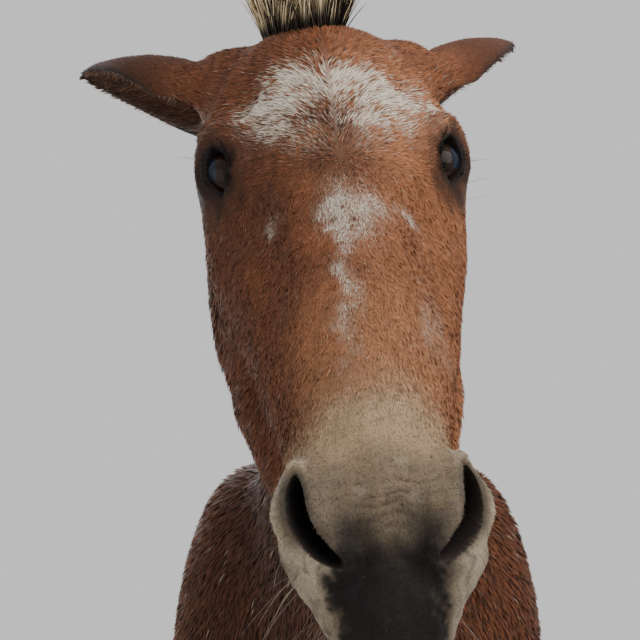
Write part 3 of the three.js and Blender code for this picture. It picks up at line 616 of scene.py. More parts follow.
def lid_ring(s, far, scale, count=72):
    centre, gaze, along, lift = lid_axes(s)
    t = 2 * np.pi * np.arange(count) / count
    wide = LID_HALF * np.cos(t)
    tall = np.where(np.sin(t) > 0, LID_UPPER, LID_LOWER)
    bow = (LID_HALF ** 2 + tall ** 2) / (2 * tall)
    high = np.sign(np.sin(t)) * (np.sqrt(np.maximum(bow ** 2 - wide ** 2, 0)) - bow + tall)
    return centre + gaze * far + np.outer(wide * scale, along) + np.outer((high - 1) * scale, lift)


def ball(name, s, extra, around=64, rings=40):
    centre, gaze, along, lift = eye_axes(s)
    rows = []
    polar = np.pi * np.arange(1, rings) / rings
    turn = 2 * np.pi * np.arange(around) / around
    for a in polar:
        d = np.outer(np.cos(turn) * np.sin(a), along) + np.outer(np.sin(turn) * np.sin(a), lift)
        d = d + gaze * np.cos(a)
        rows.append(centre + d * (EYE_RADIUS + extra) * (1 + 0.06 * math.exp(-((a / 0.5) ** 2))))
    ends = centre + gaze * (EYE_RADIUS + extra) * 1.06, centre - gaze * (EYE_RADIUS + extra)
    return tube(name, rows, *ends)


def mouth_line(count=90):
    """Points of the line of the mouth on the skin."""
    t = np.linspace(-1, 1, count)
    angle = t * 1.72
    back = np.abs(t) ** 1.6
    o = head_place(np.stack([0 * t, mix(560, 470, back), mix(104, 119, back)], 1))
    d = head_turn(np.stack([np.sin(angle), np.cos(angle) * 0.9, 0.12 * np.cos(angle)], 1))
    return o + d * reach(o, d, skin_field, 160)[:, None]


def nearest(line, points):
    """Distance to the nearest point of a line, and which one it is."""
    tree = KDTree(len(line))
    for i, point in enumerate(line):
        tree.insert(point, i)
    tree.balance()
    found = [tree.find(point) for point in points]
    return np.array([f[2] for f in found]), np.array([f[1] for f in found])


def ear_axes(s):
    base = head_place([s * 94, 46, 104])
    axis = unit([0.395, 0.793, 0.462] if s > 0 else [-0.55, 0.745, 0.36])
    opening = np.array([s * 0.42, -0.12, -0.88])
    opening = unit(opening - axis * (opening @ axis))
    return base, axis, opening, np.cross(axis, opening)


# Along the ear: place, share of the half width and gape of the cup
EAR_ROWS = np.array([
    [-0.12, 0.66, 0.2], [0, 0.74, 0.35], [0.09, 0.83, 0.7], [0.19, 0.94, 1.1], [0.31, 1, 1.35],
    [0.44, 0.96, 1.5], [0.57, 0.85, 1.6], [0.7, 0.68, 1.65], [0.81, 0.49, 1.65], [0.9, 0.3, 1.6],
    [0.96, 0.15, 1.5], [0.985, 0.08, 1.45]])


def ear_section(t):
    """Half width, gape and bow of the ear at places along it."""
    wide = np.interp(t, EAR_ROWS[:, 0], EAR_ROWS[:, 1]) * EAR_HALF_WIDTH
    gape = np.interp(t, EAR_ROWS[:, 0], EAR_ROWS[:, 2])
    return wide, gape, 14 * np.sin(np.pi * np.clip(t, 0, 1)) + 6 * t * t


def ear_shape(s):
    """Cupped leaf with a rolled rim, thick at the root and thin at the tip."""
    base, axis, opening, across = ear_axes(s)
    rings = []
    for t in np.concatenate([np.linspace(-0.12, 0.9, 42), np.linspace(0.915, 0.985, 6)]):
        w, gape, bow = ear_section(t)
        inside = np.clip(t, 0, 1)
        c = base + axis * t * EAR_LENGTH + opening * bow
        thick = mix(5.0, 2.2, inside) * min(1, w / EAR_HALF_WIDTH * 3)
        a = math.pi + (math.pi - gape) * np.linspace(-1, 1, 33)
        outer = c + np.outer(np.cos(a) * w * 0.72, opening) + np.outer(np.sin(a) * w, across)
        rim = np.abs(np.linspace(-1, 1, 33)) ** 10
        ridges = 1.2 * np.sin(np.linspace(0, 6 * math.pi, 33)) * (1 - rim)
        inset = thick * mix(1, 0.5, rim) + ridges * inside * min(1, w / 30)
        inner = c + np.outer(np.cos(a) * (w * 0.72 - inset), opening) + np.outer(np.sin(a) * (w - inset), across)
        rings.append(np.concatenate([outer, inner[::-1]]))
    start = rings[0].mean(0)
    tip = base + axis * EAR_LENGTH + opening * 8
    return tube("ear_part", rings, start, tip)


# Noise made of a few crossed waves, with values about from -1 to 1
def ripple(p, size, seed):
    rng = np.random.default_rng(seed)
    total = np.zeros(len(p))
    for _ in range(7):
        d = unit(rng.normal(size=3)) * rng.uniform(0.6, 1.6)
        total += np.sin(p @ d * (2 * math.pi / size) + rng.uniform(0, 2 * math.pi))
    return total / 3.2


def ripples(p, size, seed):
    return np.stack([ripple(p, size, seed + i) for i in range(3)], 1)


def spot(q, x, y, rx, ry):
    return np.exp(-(((q[:, 0] - x) / rx) ** 2 + ((q[:, 1] - y) / ry) ** 2) ** 1.3)


# Colours of the coat, turned to linear light
def rgb(r, g, b):
    c = np.array([r, g, b]) / 255
    return np.where(c <= 0.04045, c / 12.92, ((c + 0.055) / 1.055) ** 2.4)


def tint(name):
    """One of the colours in the panel, in linear light."""
    return np.array(getattr(bpy.context.scene.mule, name))


def head_weight(p):
    floor = np.interp(p[:, 1], [-1150, -1050], [1000, 1200])
    return smooth((-800 - p[:, 1]) / 60) * smooth((p[:, 2] - floor) / 40)


def ear_place(p):
    """How far along the nearer ear a point lies, how near the rim, and whether inside the cup."""
    along = np.full(len(p), -1.0)
    edge = np.zeros(len(p))
    inner = np.zeros(len(p))
    for s in (1, -1):
        base, axis, opening, across = ear_axes(s)
        q = p - base
        t = q @ axis / EAR_LENGTH
        w, gape, bow = ear_section(t)
        u, v = q @ opening - bow, q @ across
        near = (t > 0.02) & (t < 1.15) & (np.hypot(u, v) < w * 1.25 + 10) & (np.sign(q @ X_AXIS + 40 * s) == s)
        near &= np.sign(head_local(p)[:, 0]) == s
        angle = np.abs(np.arctan2(v / w, u / (w * 0.72)))
        reach_rim = np.exp(-np.maximum(angle - gape, 0) * w / 7)
        radius = np.hypot(u / 0.72, v)
        along = np.where(near, t, along)
        edge = np.where(near, reach_rim, edge)
        inner = np.where(near, radius < w - mix(3.2, 1.4, np.clip(t, 0, 1)), inner)
    return along, edge, inner


# Cross creases of the muzzle: place down the face, bend, half width and depth; the first ones are dark too
MUZZLE_CREASES = (
    (549, 0.0, 20, 1.9), (543, -0.04, 36, 1.0), (556, 0.10, 28, 1.3), (563, 0.14, 24, 1.2),
    (534, -0.06, 34, 0.9), (526, -0.08, 40, 0.7), (580, 0.02, 16, 1.4), (516, -0.1, 42, 0.5))
DARK_CREASES = 5


def across_muzzle(q, place, bend, wide, thick):
    """Share of a cross crease at head points."""
    x, v = q[:, 0], q[:, 1]
    return bell(v - place - bend * np.abs(x) + 1.5 * np.sin(x / 5), thick) * bell(x, wide)


# Further tones of the face
NOSE_BRIDGE = rgb(172, 120, 84)
MUZZLE_MOTTLE, MUZZLE_LIGHT = rgb(104, 96, 90), rgb(196, 184, 168)
# Nostril tones: grey skin inside, pale skin with a painted highlight on the outer rim, painted shade next to the
# hole.
NOSTRIL_INSIDE, NOSTRIL_PALE_LIT, NOSTRIL_SHADE = rgb(92, 84, 80), rgb(198, 182, 152), rgb(52, 46, 40)
LIP_PALE, LIP_LINES = rgb(190, 174, 150), rgb(84, 74, 66)
BETWEEN_NOSTRILS, CREASE_SHADE = rgb(60, 51, 41), rgb(58, 48, 40)
# Pale patches with ragged edges and small round spots: strength, place across and down the face, half sizes
PALE_PATCHES = (
    (1.1, -46, 163, 36, 34), (1.0, 50, 154, 46, 34), (0.55, 0, 142, 34, 24), (0.5, 34, 196, 26, 30),
    (0.3, -22, 205, 24, 26), (0.95, 3, 298, 20, 30), (0.5, -6, 352, 8, 46), (0.25, -8, 410, 7, 40),
    (0.4, 50, 384, 9, 26))
PALE_SPOTS = ((0.6, -54, 280, 6, 7), (0.6, 46, 286, 9, 7))


def spots(q, rows):
    return sum(strength * spot(q, *place) for strength, *place in rows)


def markings(p):
    """Base colour with painted shade and a painted highlight, share of pale roan hairs and share of black hairs at
    points of the coat.
    """
    q = head_local(p)
    w1, w2 = ripple(p, 160, 3), ripple(p, 48, 4)
    w3 = ripple(p, 20, 5)
    y, z = p[:, 1], p[:, 2]
    # Body
    bottom = np.interp(y, TRUNK[:, 0], TRUNK[:, 2])
    top = np.interp(y, TRUNK[:, 0], TRUNK[:, 1])
    up = np.clip((z - bottom) / np.maximum(top - bottom, 1), 0, 1)
    colour = cover(tint("body"), tint("red_brown"), smooth(0.5 + 0.4 * w1))
    in_trunk = smooth((y + 400) / 60) * smooth((600 - y) / 60) * smooth((z - 730) / 40)
    colour = cover(colour, tint("belly"), smooth((0.24 - up + 0.03 * w2) / 0.2) * in_trunk)
    neck = smooth((-450 - y) / 200)
    # Neck coat darker than the body, with painted shade deepening toward its shaded right side (-x).
    neck_tone_and_shade = cover(tint("red_brown"), tint("dark_brown"), 0.38 + 0.38 * smooth(-p[:, 0] / 80))
    colour = cover(colour, neck_tone_and_shade, neck)
    stripe = bell(p[:, 0], 17) * smooth((up - 0.85) / 0.1) * (y > -420)
    cross = bell(y + 395 - 0.2 * np.abs(p[:, 0]), 22) * smooth((up - 0.55) / 0.3)
    colour = cover(colour, tint("dark_brown"), np.clip(0.85 * stripe + 0.5 * cross, 0, 1))
    point = smooth((mix(560, 640, y > 200) + 40 * w2 - z) / 190)
    colour = cover(colour, mix(tint("dark_brown"), tint("black_point"), 0.75), point)
    inner_thigh = smooth((85 - np.abs(p[:, 0])) / 40) * smooth((900 - z) / 60) * smooth((z - 660) / 80)
    colour = cover(colour, tint("belly"), 0.5 * inner_thigh)
    tail = smooth((y - 830) / 40) * (z < 1380)
    colour = cover(colour, tint("dark_brown"), 0.7 * tail)
    roan = 0.012 + 0.012 * w2 + (0.02 + 0.03 * smooth(w1)) * in_trunk
    roan = roan * (1 - point)
    black = 0.08 + 0.15 * stripe
    # Head
    hw = head_weight(p)
    x, v, d = q[:, 0], q[:, 1], q[:, 2]
    # Painted shade: the face turns from chestnut on the lit left side (+x) to red brown on the shaded right side
    # (-x).
    face = cover(tint("chestnut"), tint("red_brown"), smooth(0.35 - x / 110 + 0.25 * w2))
    # Painted shade: dark brown toward the back of the head, strongest on the shaded right side.
    face = cover(face, tint("dark_brown"), 0.2 * smooth((d - 30) / 70) * smooth((-x + 50) / 110))
    # Painted shade on the shaded right cheek (-x); the spot in the middle of the forehead is darker coat.
    face = cover(face, tint("dark_brown"), 0.35 * spot(q, -62, 235, 34, 60) + 0.4 * spot(q, 0, 222, 24, 40))
    face = cover(face, tint("red_brown"), 0.7 * smooth((125 - v) / 60))
    bridge = smooth((78 - d) / 50) * smooth((v - 330) / 90) * smooth((np.where(x > 0, 90, 62) - np.abs(x)) / 30)
    face = cover(face, NOSE_BRIDGE, 0.6 * bridge)
    edge = 452 + 24 * (np.abs(x) / 60) ** 2 + 8 * w2 - 18 * smooth((d - 60) / 60)
    mealy = smooth((v - edge + 26) / 62)
    face = cover(face, tint("mealy"), 0.92 * mealy)
    chin = smooth((d - 150) / 30) * smooth((v - 330) / 90)
    face = cover(face, tint("mealy"), 0.7 * chin)
    grey = smooth((v - 492 + 8 * w2) / 40)
    face = cover(face, tint("muzzle_grey"), 0.7 * grey)
    hole = nostril_distance(q)
    on_muzzle = (v > 470) & (d < 92)
    ring = np.where(on_muzzle, np.exp(-np.maximum(hole, 0) / 9), 0)
    mottle = smooth(0.5 * ripple(p, 13, 81) + 0.4 * ripple(p, 6, 82) + 0.1) * grey
    face = cover(face, MUZZLE_MOTTLE, 0.42 * mottle)
    light = smooth(0.6 * ripple(p, 17, 83) - 0.2) * grey * (v < 575)
    face = cover(face, MUZZLE_LIGHT, 0.35 * light)
    inside_rim = ring * (np.abs(x) < 50)
    face = cover(face, NOSTRIL_INSIDE, 0.55 * inside_rim)
    # Pale skin and a painted highlight on the raised outer rim of each nostril.
    pale_lit_rim = bell(hole - 12, 6) * on_muzzle * (np.abs(x) > 48)
    face = cover(face, NOSTRIL_PALE_LIT, 0.8 * pale_lit_rim)
    shaded_rim = bell(np.maximum(hole, 0), 5.5) * on_muzzle * smooth((np.abs(x) - 44) / 8)
    face = cover(face, NOSTRIL_SHADE, 0.8 * shaded_rim)
    lip_side = smooth((v - 560) / 20) * smooth((np.abs(x) - 34) / 12) * (d > 20)
    face = cover(face, LIP_PALE, 0.6 * lip_side)
    line_up = smooth(2.2 * np.sin(np.arctan2(x, v - 470) * 46 + 2 * w3) - 1.1) * lip_side
    face = cover(face, LIP_LINES, 0.5 * line_up)
    between = smooth((v - 534 - 5 * w3) / 32) * smooth((50 - np.abs(x) + 5 * w3) / 24) * (d < 70)
    between = between * (1 - 0.45 * bell(x, 11) * smooth((578 - v) / 8))
    face = cover(face, BETWEEN_NOSTRILS, 0.82 * between)
    crease = bell(x - 1.5 * np.sin(v / 6), 1.0) * bell(v - 547, 7)
    for place, bend, wide, _ in MUZZLE_CREASES[:DARK_CREASES]:
        crease += across_muzzle(q, place, bend, wide, 0.9)
    face = cover(face, CREASE_SHADE, 0.55 * np.clip(crease, 0, 1) * smooth((60 - d) / 20))
    # Painted shade in the hollows beside the ridge under the nose.
    hollow_shade = bell(np.abs(x) - 25, 10) * bell(v - 568, 14) * (d < 60)
    face = cover(face, tint("lip_black"), 0.7 * hollow_shade)
    lip_edge = 40 - np.abs(x + 2) + 5 * w3 + 4 * ripple(p, 8, 84)
    bottom_lip = smooth((v - 568 - 5 * w3) / 14) * smooth(lip_edge / 10)
    face = cover(face, tint("lip_black"), 0.97 * bottom_lip)
    lower_lip = smooth((d - 98) / 14) * smooth((v - 545) / 20)
    face = cover(face, mix(tint("lip_black"), tint("muzzle_grey"), 0.35), 0.75 * lower_lip)
    # Dark skin round the eye, with painted shade of the eye socket beyond it.
    socket = smooth((46 - eye_gap(q, stretch=[1, 1.15, 1]) + 4 * w3) / 20)
    face = cover(face, mix(tint("dark_brown"), tint("black_point"), 0.6), 0.92 * socket)
    t, rim, inner = ear_place(p)
    on_ear = smooth((t + 0.02) / 0.24) * (t > -0.5)
    # Ear coat darker than the face, with painted shade on the right ear (-x) against the lit left ear.
    ear_colour = tint("red_brown") * mix(0.8, 0.55, smooth(0.5 - x / 90))[:, None]
    ear_colour = cover(ear_colour, tint("dark_brown"), smooth((t - 0.55) / 0.5) * 0.7)
    ear_colour = cover(ear_colour, mix(tint("red_brown"), tint("black_point"), 0.45), inner * 0.8)
    ear_colour = cover(ear_colour, tint("black_point"), np.clip(rim * 0.9 + smooth((t - 0.86) / 0.1), 0, 1))
    face = cover(face, ear_colour, on_ear)
    wob = q.copy()
    wob[:, 0] += 7 * w2 + 3 * w3
    wob[:, 1] += 7 * ripple(p, 55, 8)
    patch = (spots(wob, PALE_PATCHES) + spots(q, PALE_SPOTS)) * (0.8 + 0.3 * w3) * smooth((100 - d) / 30)
    face_roan = np.clip(patch + 0.012 + 0.02 * w2, 0, 1) * (1 - mealy * 0.5) * (1 - socket) * (1 - on_ear)
    face_black = 0.08 + 0.45 * spot(wob, 2, 222, 26, 46) + 0.2 * spot(wob, -8, 120, 24, 20) + 0.16 * grey
    face_black = np.clip(face_black, 0, 1) * (1 - 0.7 * np.clip(patch, 0, 1))
    colour = cover(colour, face, hw)
    roan = mix(roan, face_roan, hw)
    black = mix(black, face_black, hw)
    return np.clip(colour, 0.002, 1), np.clip(roan, 0, 1), np.clip(black, 0, 1)


def paint(obj, colour):
    """Store a colour for each point."""
    layer = obj.data.color_attributes.new("coat", "FLOAT_COLOR", "POINT")
    data = np.ones((len(colour), 4), np.float32)
    data[:, :3] = colour
    layer.data.foreach_set("color", data.ravel())


# The way the hairs lie; they part from a whorl between the eyes
WHORL_HEIGHT = 262


def lie_of(p, n):
    """Unit directions along the skin in which the hairs point."""
    q = head_local(p)
    y, z = p[:, 1], p[:, 2]
    way = np.tile([0, 1.0, -0.35], (len(p), 1))
    for direction, weight in (
            ([0, 0.15, -1.0], smooth((950 - z) / 150)),
            ([0, 0.45, -1.0], smooth((y - 560) / 200)),
            ([0, 0.55, -0.85], smooth((-430 - y) / 150)),
            ([0, 0.1, -1.0], smooth((-n[:, 1] - 0.35) / 0.4) * smooth((1350 - z) / 150))):
        way = cover(way, np.array(direction), weight)
    x, v, d = q.T
    up = smooth((WHORL_HEIGHT - v) / 40)
    local = np.stack([mix(x / 90, x / 55 + 0.25 * np.sign(x), up), mix(1.0, -0.45, up), 0 * x], 1)
    local[:, 1] -= 0.8 * smooth((110 - v) / 40)
    cheek = smooth((d - 45) / 55) * smooth((v - 90) / 50)
    local = cover(local, np.array([0.0, 0.7, 0.75]), cheek)
    local = cover(local, np.stack([x / 70, 0 * x + 0.85, 0 * x + 0.3], 1), smooth((v - 470) / 40))
    for s in (1, -1):
        off = q - EYE_PLACE * [s, 1, 1]
        r = np.linalg.norm(off, axis=1, keepdims=True)
        local = local + off / np.maximum(r, 1) * 1.8 * np.exp(-np.maximum(r - 20, 0) / 14)
    way = cover(way, local @ HEAD_BASIS, head_weight(p))
    along_ear = smooth(ear_place(p)[0] / 0.1)
    for s in (1, -1):
        way = cover(way, ear_axes(s)[1], along_ear * (np.sign(x) == s))
    way = unit(way) + ripples(p, 60, 21) * 0.16 + ripples(p, 14, 24) * 0.14
    way = way - n * (way * n).sum(1, keepdims=True)
    return unit(way)


FETLOCK_HEIGHT = 150


def coat_size(p):
    """Length, width and rise of the hairs in millimetres at points of the coat."""
    q = head_local(p)
    _, v, d = q.T
    y, z = p[:, 1], p[:, 2]
    length = mix(12.0, 15.0, smooth((-400 - y) / 200))
    bottom = np.interp(y, TRUNK[:, 0], TRUNK[:, 2])
    length = length + 5 * smooth((bottom + 140 - z) / 120) * (y > -500) * (y < 700)
    length = mix(length, 8.0, smooth((640 - z) / 120))
    length = length + 9 * bell(z - FETLOCK_HEIGHT, 30)
    width = 0.13 * length
    rise = np.full(len(p), 0.30)
    face = 6.5 + 3.0 * smooth((250 - v) / 120) + 2.5 * smooth((d - 70) / 60)
    face = face + 6 * smooth((d - 150) / 40)
    face = mix(face, 3.2, smooth((v - 450) / 60))
    face = mix(face, 1.8, smooth((v - 560) / 20))
    face = mix(2.4, face, smooth((eye_gap(q) - 24) / 24))
    hw = head_weight(p)
    t = ear_place(p)[0]
    face = mix(face, mix(5.5, 4.0, np.clip(t, 0, 1)), smooth(t / 0.05))
    length = mix(length, face, hw)
    width = mix(width, 0.085 * face + 0.12, hw)
    rise = mix(rise, 0.26 + 0.1 * smooth((v - 480) / 60), hw)
    return length, width, rise


# Blades: thin tapered strips, each with two steps and a point
PATCH = 0.003


def spread_out(uv):
    """Places on an unrolled part, stretched to fill the whole map."""
    low, high = uv.min(0), uv.max(0)
    return (uv - low) / np.maximum(high - low, 1e-6)


def strip_mesh(name, points, shade, normals, patch):
    """Mesh of tapered strips, two points a step and one at the tip, each on its own patch of the map."""
    n, per = points.shape[:2]
    steps = (per - 1) // 2
    first = (np.arange(n) * per)[:, None]
    quads = [first + np.array([2 * j, 2 * j + 1, 2 * j + 3, 2 * j + 2]) for j in range(steps - 1)]
    point = first + np.array([2 * steps - 2, 2 * steps - 1, 2 * steps])
    corners = np.concatenate(quads + [point], 1).ravel()
    obj = new_object(name, to_metres(points.reshape(-1, 3)), np.tile([4] * (steps - 1) + [3], n), corners)
    paint(obj, np.clip(shade.reshape(-1, 3), 0, 1))
    obj.data.normals_split_custom_set_from_vertices(normals.reshape(-1, 3).tolist())
    k = np.arange(per)
    across, up = np.where(k % 2, 0.5, -0.5) * (k < 2 * steps), np.minimum(k // 2, steps) / steps - 0.5
    inside = np.stack([across, up], 1)
    uv = (patch * (1 - 2 * PATCH) + PATCH)[:, None, :] + inside[None] * PATCH
    layer = obj.data.uv_layers.new(name="OFBake")
    layer.data.foreach_set("uv", uv.reshape(-1, 2)[corners].astype(np.float32).ravel())
    return obj


def make_strips(name, steps, station, lean, patch):
    """Tapered strips; station gives spine, half width, colour and normal at a place along them."""
    rows = []
    for j in range(steps + 1):
        spine, half, colour, normal = station(j / steps)
        if j < steps:
            rows.append((spine - half, colour, unit(normal - lean)))
            rows.append((spine + half, colour, unit(normal + lean)))
        else:
            rows.append((spine, colour, normal))
    points, shade, normals = (np.stack(column, 1) for column in zip(*rows))
    return strip_mesh(name, points, shade, normals, patch)


def make_blades(name, root, normal, way, length, width, rise, low, high, seed, patch):
    """Short hairs of the coat: each a blade of two steps that rises from the skin."""
    rng = np.random.default_rng(seed)
    n = len(root)
    side_way = unit(np.cross(way, normal))
    turn = rng.normal(0, 0.5, n)[:, None]
    side_way = unit(side_way * np.cos(turn) + normal * np.sin(turn))
    lengths = length[:, None]

    def station(t):
        spine = root + way * lengths * t * (1 - 0.12 * t)
        spine = spine + normal * lengths * rise[:, None] * t * (1.25 - 0.5 * t)
        spine = spine - normal * 0.8 * (1 - t)
        wide = (width / 2 * (1.0 - 0.25 * t))[:, None]
        bent = unit(normal * 0.75 + way * (0.25 - 0.2 * t) + rng.normal(0, 0.10, (n, 3)))
        return spine, side_way * wide, mix(low, high, t ** 0.7), bent

    return make_strips(name, 2, station, side_way * 0.35, patch)


def skin_triangles(skin):
    mesh = skin.data
    mesh.calc_loop_triangles()
    tri = np.empty(len(mesh.loop_triangles) * 3, np.int32)
    mesh.loop_triangles.foreach_get("vertices", tri)
    tri = tri.reshape(-1, 3)
    p = points_of(skin)
    a, b, c = p[tri[:, 0]], p[tri[:, 1]], p[tri[:, 2]]
    area = np.linalg.norm(np.cross(b - a, c - a), axis=1) / 2
    return tri, p, area


def scatter(skin, choose, density, seed):
    """Random roots on the chosen part of the skin; density is in hairs for each square millimetre."""
    rng = np.random.default_rng(seed)
    tri, p, area = skin_triangles(skin)
    centre = p[tri].mean(1)
    weight = area * choose(centre) * density(centre)
    count = int(weight.sum())
    pick = rng.choice(len(tri), count, p=weight / weight.sum())
    u, v = rng.random(count), rng.random(count)
    flip = u + v > 1
    u[flip], v[flip] = 1 - u[flip], 1 - v[flip]
    bary = np.stack([1 - u - v, u, v], 1)
    normal = normals_of(skin)
    roots = (p[tri[pick]] * bary[..., None]).sum(1)
    normals = unit((normal[tri[pick]] * bary[..., None]).sum(1))
    return roots, normals


def bare(p):
    """Where no hair grows: eye openings, nostrils and the line of the mouth."""
    q = head_local(p)
    off = np.zeros(len(p), bool)
    hole = nostril_distance(q)
    off |= (hole < 1.5) & (q[:, 1] > 480) & (q[:, 2] < 52)
    low = np.flatnonzero((q[:, 1] > 430) & head_weight(p).astype(bool))
    off[low] |= skin_field(p[low]) < -1.5
    for s in (1, -1):
        _, far, ahead, _, _, gap = lid_view(p, s)
        off |= (gap < 2.0) & (ahead > 0) & (far < 30)
        off |= far < EYE_RADIUS + 1.2
    return off


def unroll(p, part):
    """Place of a root on the unrolled skin of its part, from 0 to 1 each way."""
    if part == "head":
        q = head_local(p)
        angle = np.arctan2(q[:, 0], -(q[:, 2] - 90)) / (2 * np.pi) + 0.5
        t = ear_place(p)[0]
        uv = np.stack([angle * 0.8, np.clip((q[:, 1] + 40) / 670, 0, 1)], 1)
        for s in (1, -1):
            base, _, opening, across = ear_axes(s)
            mine = (t > 0.02) & (np.sign(q[:, 0]) == s)
            r = p - base
            turn = np.arctan2(r @ across, r @ opening) / (2 * np.pi) + 0.5
            uv[mine] = np.stack([0.82 + 0.18 * turn, (0.5 if s > 0 else 0.0) + 0.48 * np.clip(t, 0, 1)], 1)[mine]
        return np.clip(uv, 0, 1)
    if part == "neck":
        t = np.clip((p[:, 1] + 1080) / 640, 0, 1)
        middle = np.interp(p[:, 1], [-1012, -500], [1690, 1250])
        return np.stack([np.arctan2(p[:, 0], p[:, 2] - middle) / (2 * np.pi) + 0.5, t], 1)
    if part == "legs":
        uv = np.zeros((len(p), 2))
        for i, rows in enumerate(LEGS.values()):
            c = np.stack([np.interp(-p[:, 2], -rows[:, 2], rows[:, j]) for j in (0, 1)], 1)
            mine = ((rows[0, 0] > 0) == (p[:, 0] > 0)) & ((rows[0, 1] > 0) == (p[:, 1] > 100))
            turn = np.arctan2(p[:, 0] - c[:, 0], p[:, 1] - c[:, 1]) / (2 * np.pi) + 0.5
            uv[mine] = np.stack([i * 0.25 + 0.24 * turn, np.clip(p[:, 2] / 800, 0, 1)], 1)[mine]
        return uv
    t = np.clip((p[:, 1] + 660) / 1620, 0, 1)
    return np.stack([np.arctan2(p[:, 0], p[:, 2] - 1120) / (2 * np.pi) + 0.5, t], 1)


def grow_coat(name, skin, part, choose, density, seed):
    roots, normals = scatter(skin, choose, density, seed)
    keep = ~bare(roots)
    roots, normals = roots[keep], normals[keep]
    rng = np.random.default_rng(seed + 50)
    n = len(roots)
    way = lie_of(roots, normals)
    length, width, rise = coat_size(roots)
    length = length * rng.uniform(0.7, 1.25, n)
    rise = rise * rng.uniform(0.4, 1.4, n)
    colour, roan, black = markings(roots)
    pick = rng.random(n)
    streak = 1 + 0.16 * ripple(roots, 11, 71) + 0.10 * ripple(roots, 33, 72)
    base = colour * rng.uniform(0.82, 1.16, (n, 1)) * streak[:, None]
    pale = (pick < roan)[:, None]
    strong = np.clip(roan * 1.8, 0.35, 1.0)[:, None]
    base = np.where(pale, mix(base, tint("cream"), strong) * rng.uniform(0.78, 1.02, (n, 1)), base)
    base = np.where((pick > 1 - black)[:, None], mix(base, tint("black_point"), 0.75), base)
    width = width * np.where(pale[:, 0], 0.75, 1.0)
    # Roots painted darker than tips: painted shade within the coat.
    return make_blades(name, roots, normals, way, length, width, rise, base * 0.55, np.clip(base * 1.12, 0, 1),
                       seed + 90, spread_out(unroll(roots, part)))


# Materials
PUPIL_HALF_WIDTH, PUPIL_HALF_HEIGHT = 0.62, 0.30


def new_material(name):
    material = bpy.data.materials.new(name)
    material.use_nodes = True
    tree = material.node_tree
    tree.nodes.clear()
    out = tree.nodes.new("ShaderNodeOutputMaterial")
    shader = tree.nodes.new("ShaderNodeBsdfPrincipled")
    tree.links.new(shader.outputs["BSDF"], out.inputs["Surface"])
    return material, tree, shader


def put(tree, kind, inputs, **settings):
    """New node with its settings, then a value or a link for each input given."""
    node = tree.nodes.new("ShaderNode" + kind)
    for key, value in settings.items():
        setattr(node, key, value)
    for key, value in inputs.items():
        if isinstance(value, bpy.types.NodeSocket):
            tree.links.new(value, node.inputs[key])
        else:
            node.inputs[key].default_value = value
    return node


def object_noise(tree, scale, detail, stretch=(1, 1, 1)):
    place = put(tree, "TexCoord", {})
    mapping = put(tree, "Mapping", {"Vector": place.outputs["Object"], "Scale": stretch})
    noise = put(tree, "TexNoise", {"Vector": mapping.outputs["Vector"], "Scale": scale, "Detail": detail})
    return noise.outputs["Fac"]


def blend_colours(tree, factor, a, b):
    return put(tree, "Mix", {"Factor": factor, "A": a, "B": b}, data_type="RGBA").outputs["Result"]


def ramp(tree, source, *stops):
    node = put(tree, "ValToRGB", {"Fac": source})
    elements = node.color_ramp.elements
    while len(elements) < len(stops):
        elements.new(0.5)
    for element, (at, colour) in zip(elements, stops):
        element.position = at
        element.color = (*colour, 1)
    return node.outputs["Color"]


def streak_group():
    """Noise that darkens a colour in streaks and changes its roughness, for hair, skin, horn and floor."""
    group = bpy.data.node_groups.get("streaks")
    if group:
        return group
    group = bpy.data.node_groups.new("streaks", "ShaderNodeTree")
    for name, kind, value in (
            ("Colour", "Color", (0.5, 0.5, 0.5, 1)), ("Scale", "Float", 400.0), ("Detail", "Float", 4.0),
            ("Stretch", "Vector", (1, 1, 1)), ("Depth", "Float", 0.3), ("Roughness", "Float", 0.6),
            ("Polish", "Float", 0.14)):
        socket = group.interface.new_socket(name, in_out="INPUT", socket_type="NodeSocket" + kind)
        socket.default_value = value
    for name, kind in (("Colour", "Color"), ("Roughness", "Float"), ("Height", "Float")):
        group.interface.new_socket(name, in_out="OUTPUT", socket_type="NodeSocket" + kind)
    given = group.nodes.new("NodeGroupInput").outputs
    result = group.nodes.new("NodeGroupOutput")
    height = object_noise(group, given["Scale"], given["Detail"], given["Stretch"])
    dark = put(group, "MapRange", {
        "Value": height, "From Min": 0.3, "From Max": 0.55, "To Min": given["Depth"], "To Max": 0.0})
    tone = blend_colours(group, dark.outputs["Result"], given["Colour"], (0, 0, 0, 1))
    smoother = put(group, "Math", {0: given["Roughness"], 1: given["Polish"]}, operation="SUBTRACT")
    shine = put(group, "MapRange", {
        "Value": height, "From Min": 0.3, "From Max": 0.7,
        "To Min": given["Roughness"], "To Max": smoother.outputs["Value"]})
    for key, value in (("Colour", tone), ("Roughness", shine.outputs["Result"]), ("Height", height)):
        group.links.new(value, result.inputs[key])
    return group


def streaked(name, colour, **values):
    """Material with the shared streaks over one colour, or over the painted one."""
    material, tree, shader = new_material(name)
    streaks = tree.nodes.new("ShaderNodeGroup")
    streaks.node_tree = streak_group()
    for key, value in values.items():
        streaks.inputs[key].default_value = value
    if colour is None:
        painted = put(tree, "Attribute", {}, attribute_name="coat")
        tree.links.new(painted.outputs["Color"], streaks.inputs["Colour"])
    else:
        streaks.inputs["Colour"].default_value = (*colour, 1)
    tree.links.new(streaks.outputs["Colour"], shader.inputs["Base Color"])
    tree.links.new(streaks.outputs["Roughness"], shader.inputs["Roughness"])
    return material, tree, shader, streaks.outputs["Height"]


def add_bump(tree, shader, height, distance):
    bump = put(tree, "Bump", {"Strength": 0.5, "Distance": distance, "Height": height})
    tree.links.new(bump.outputs["Normal"], shader.inputs["Normal"])


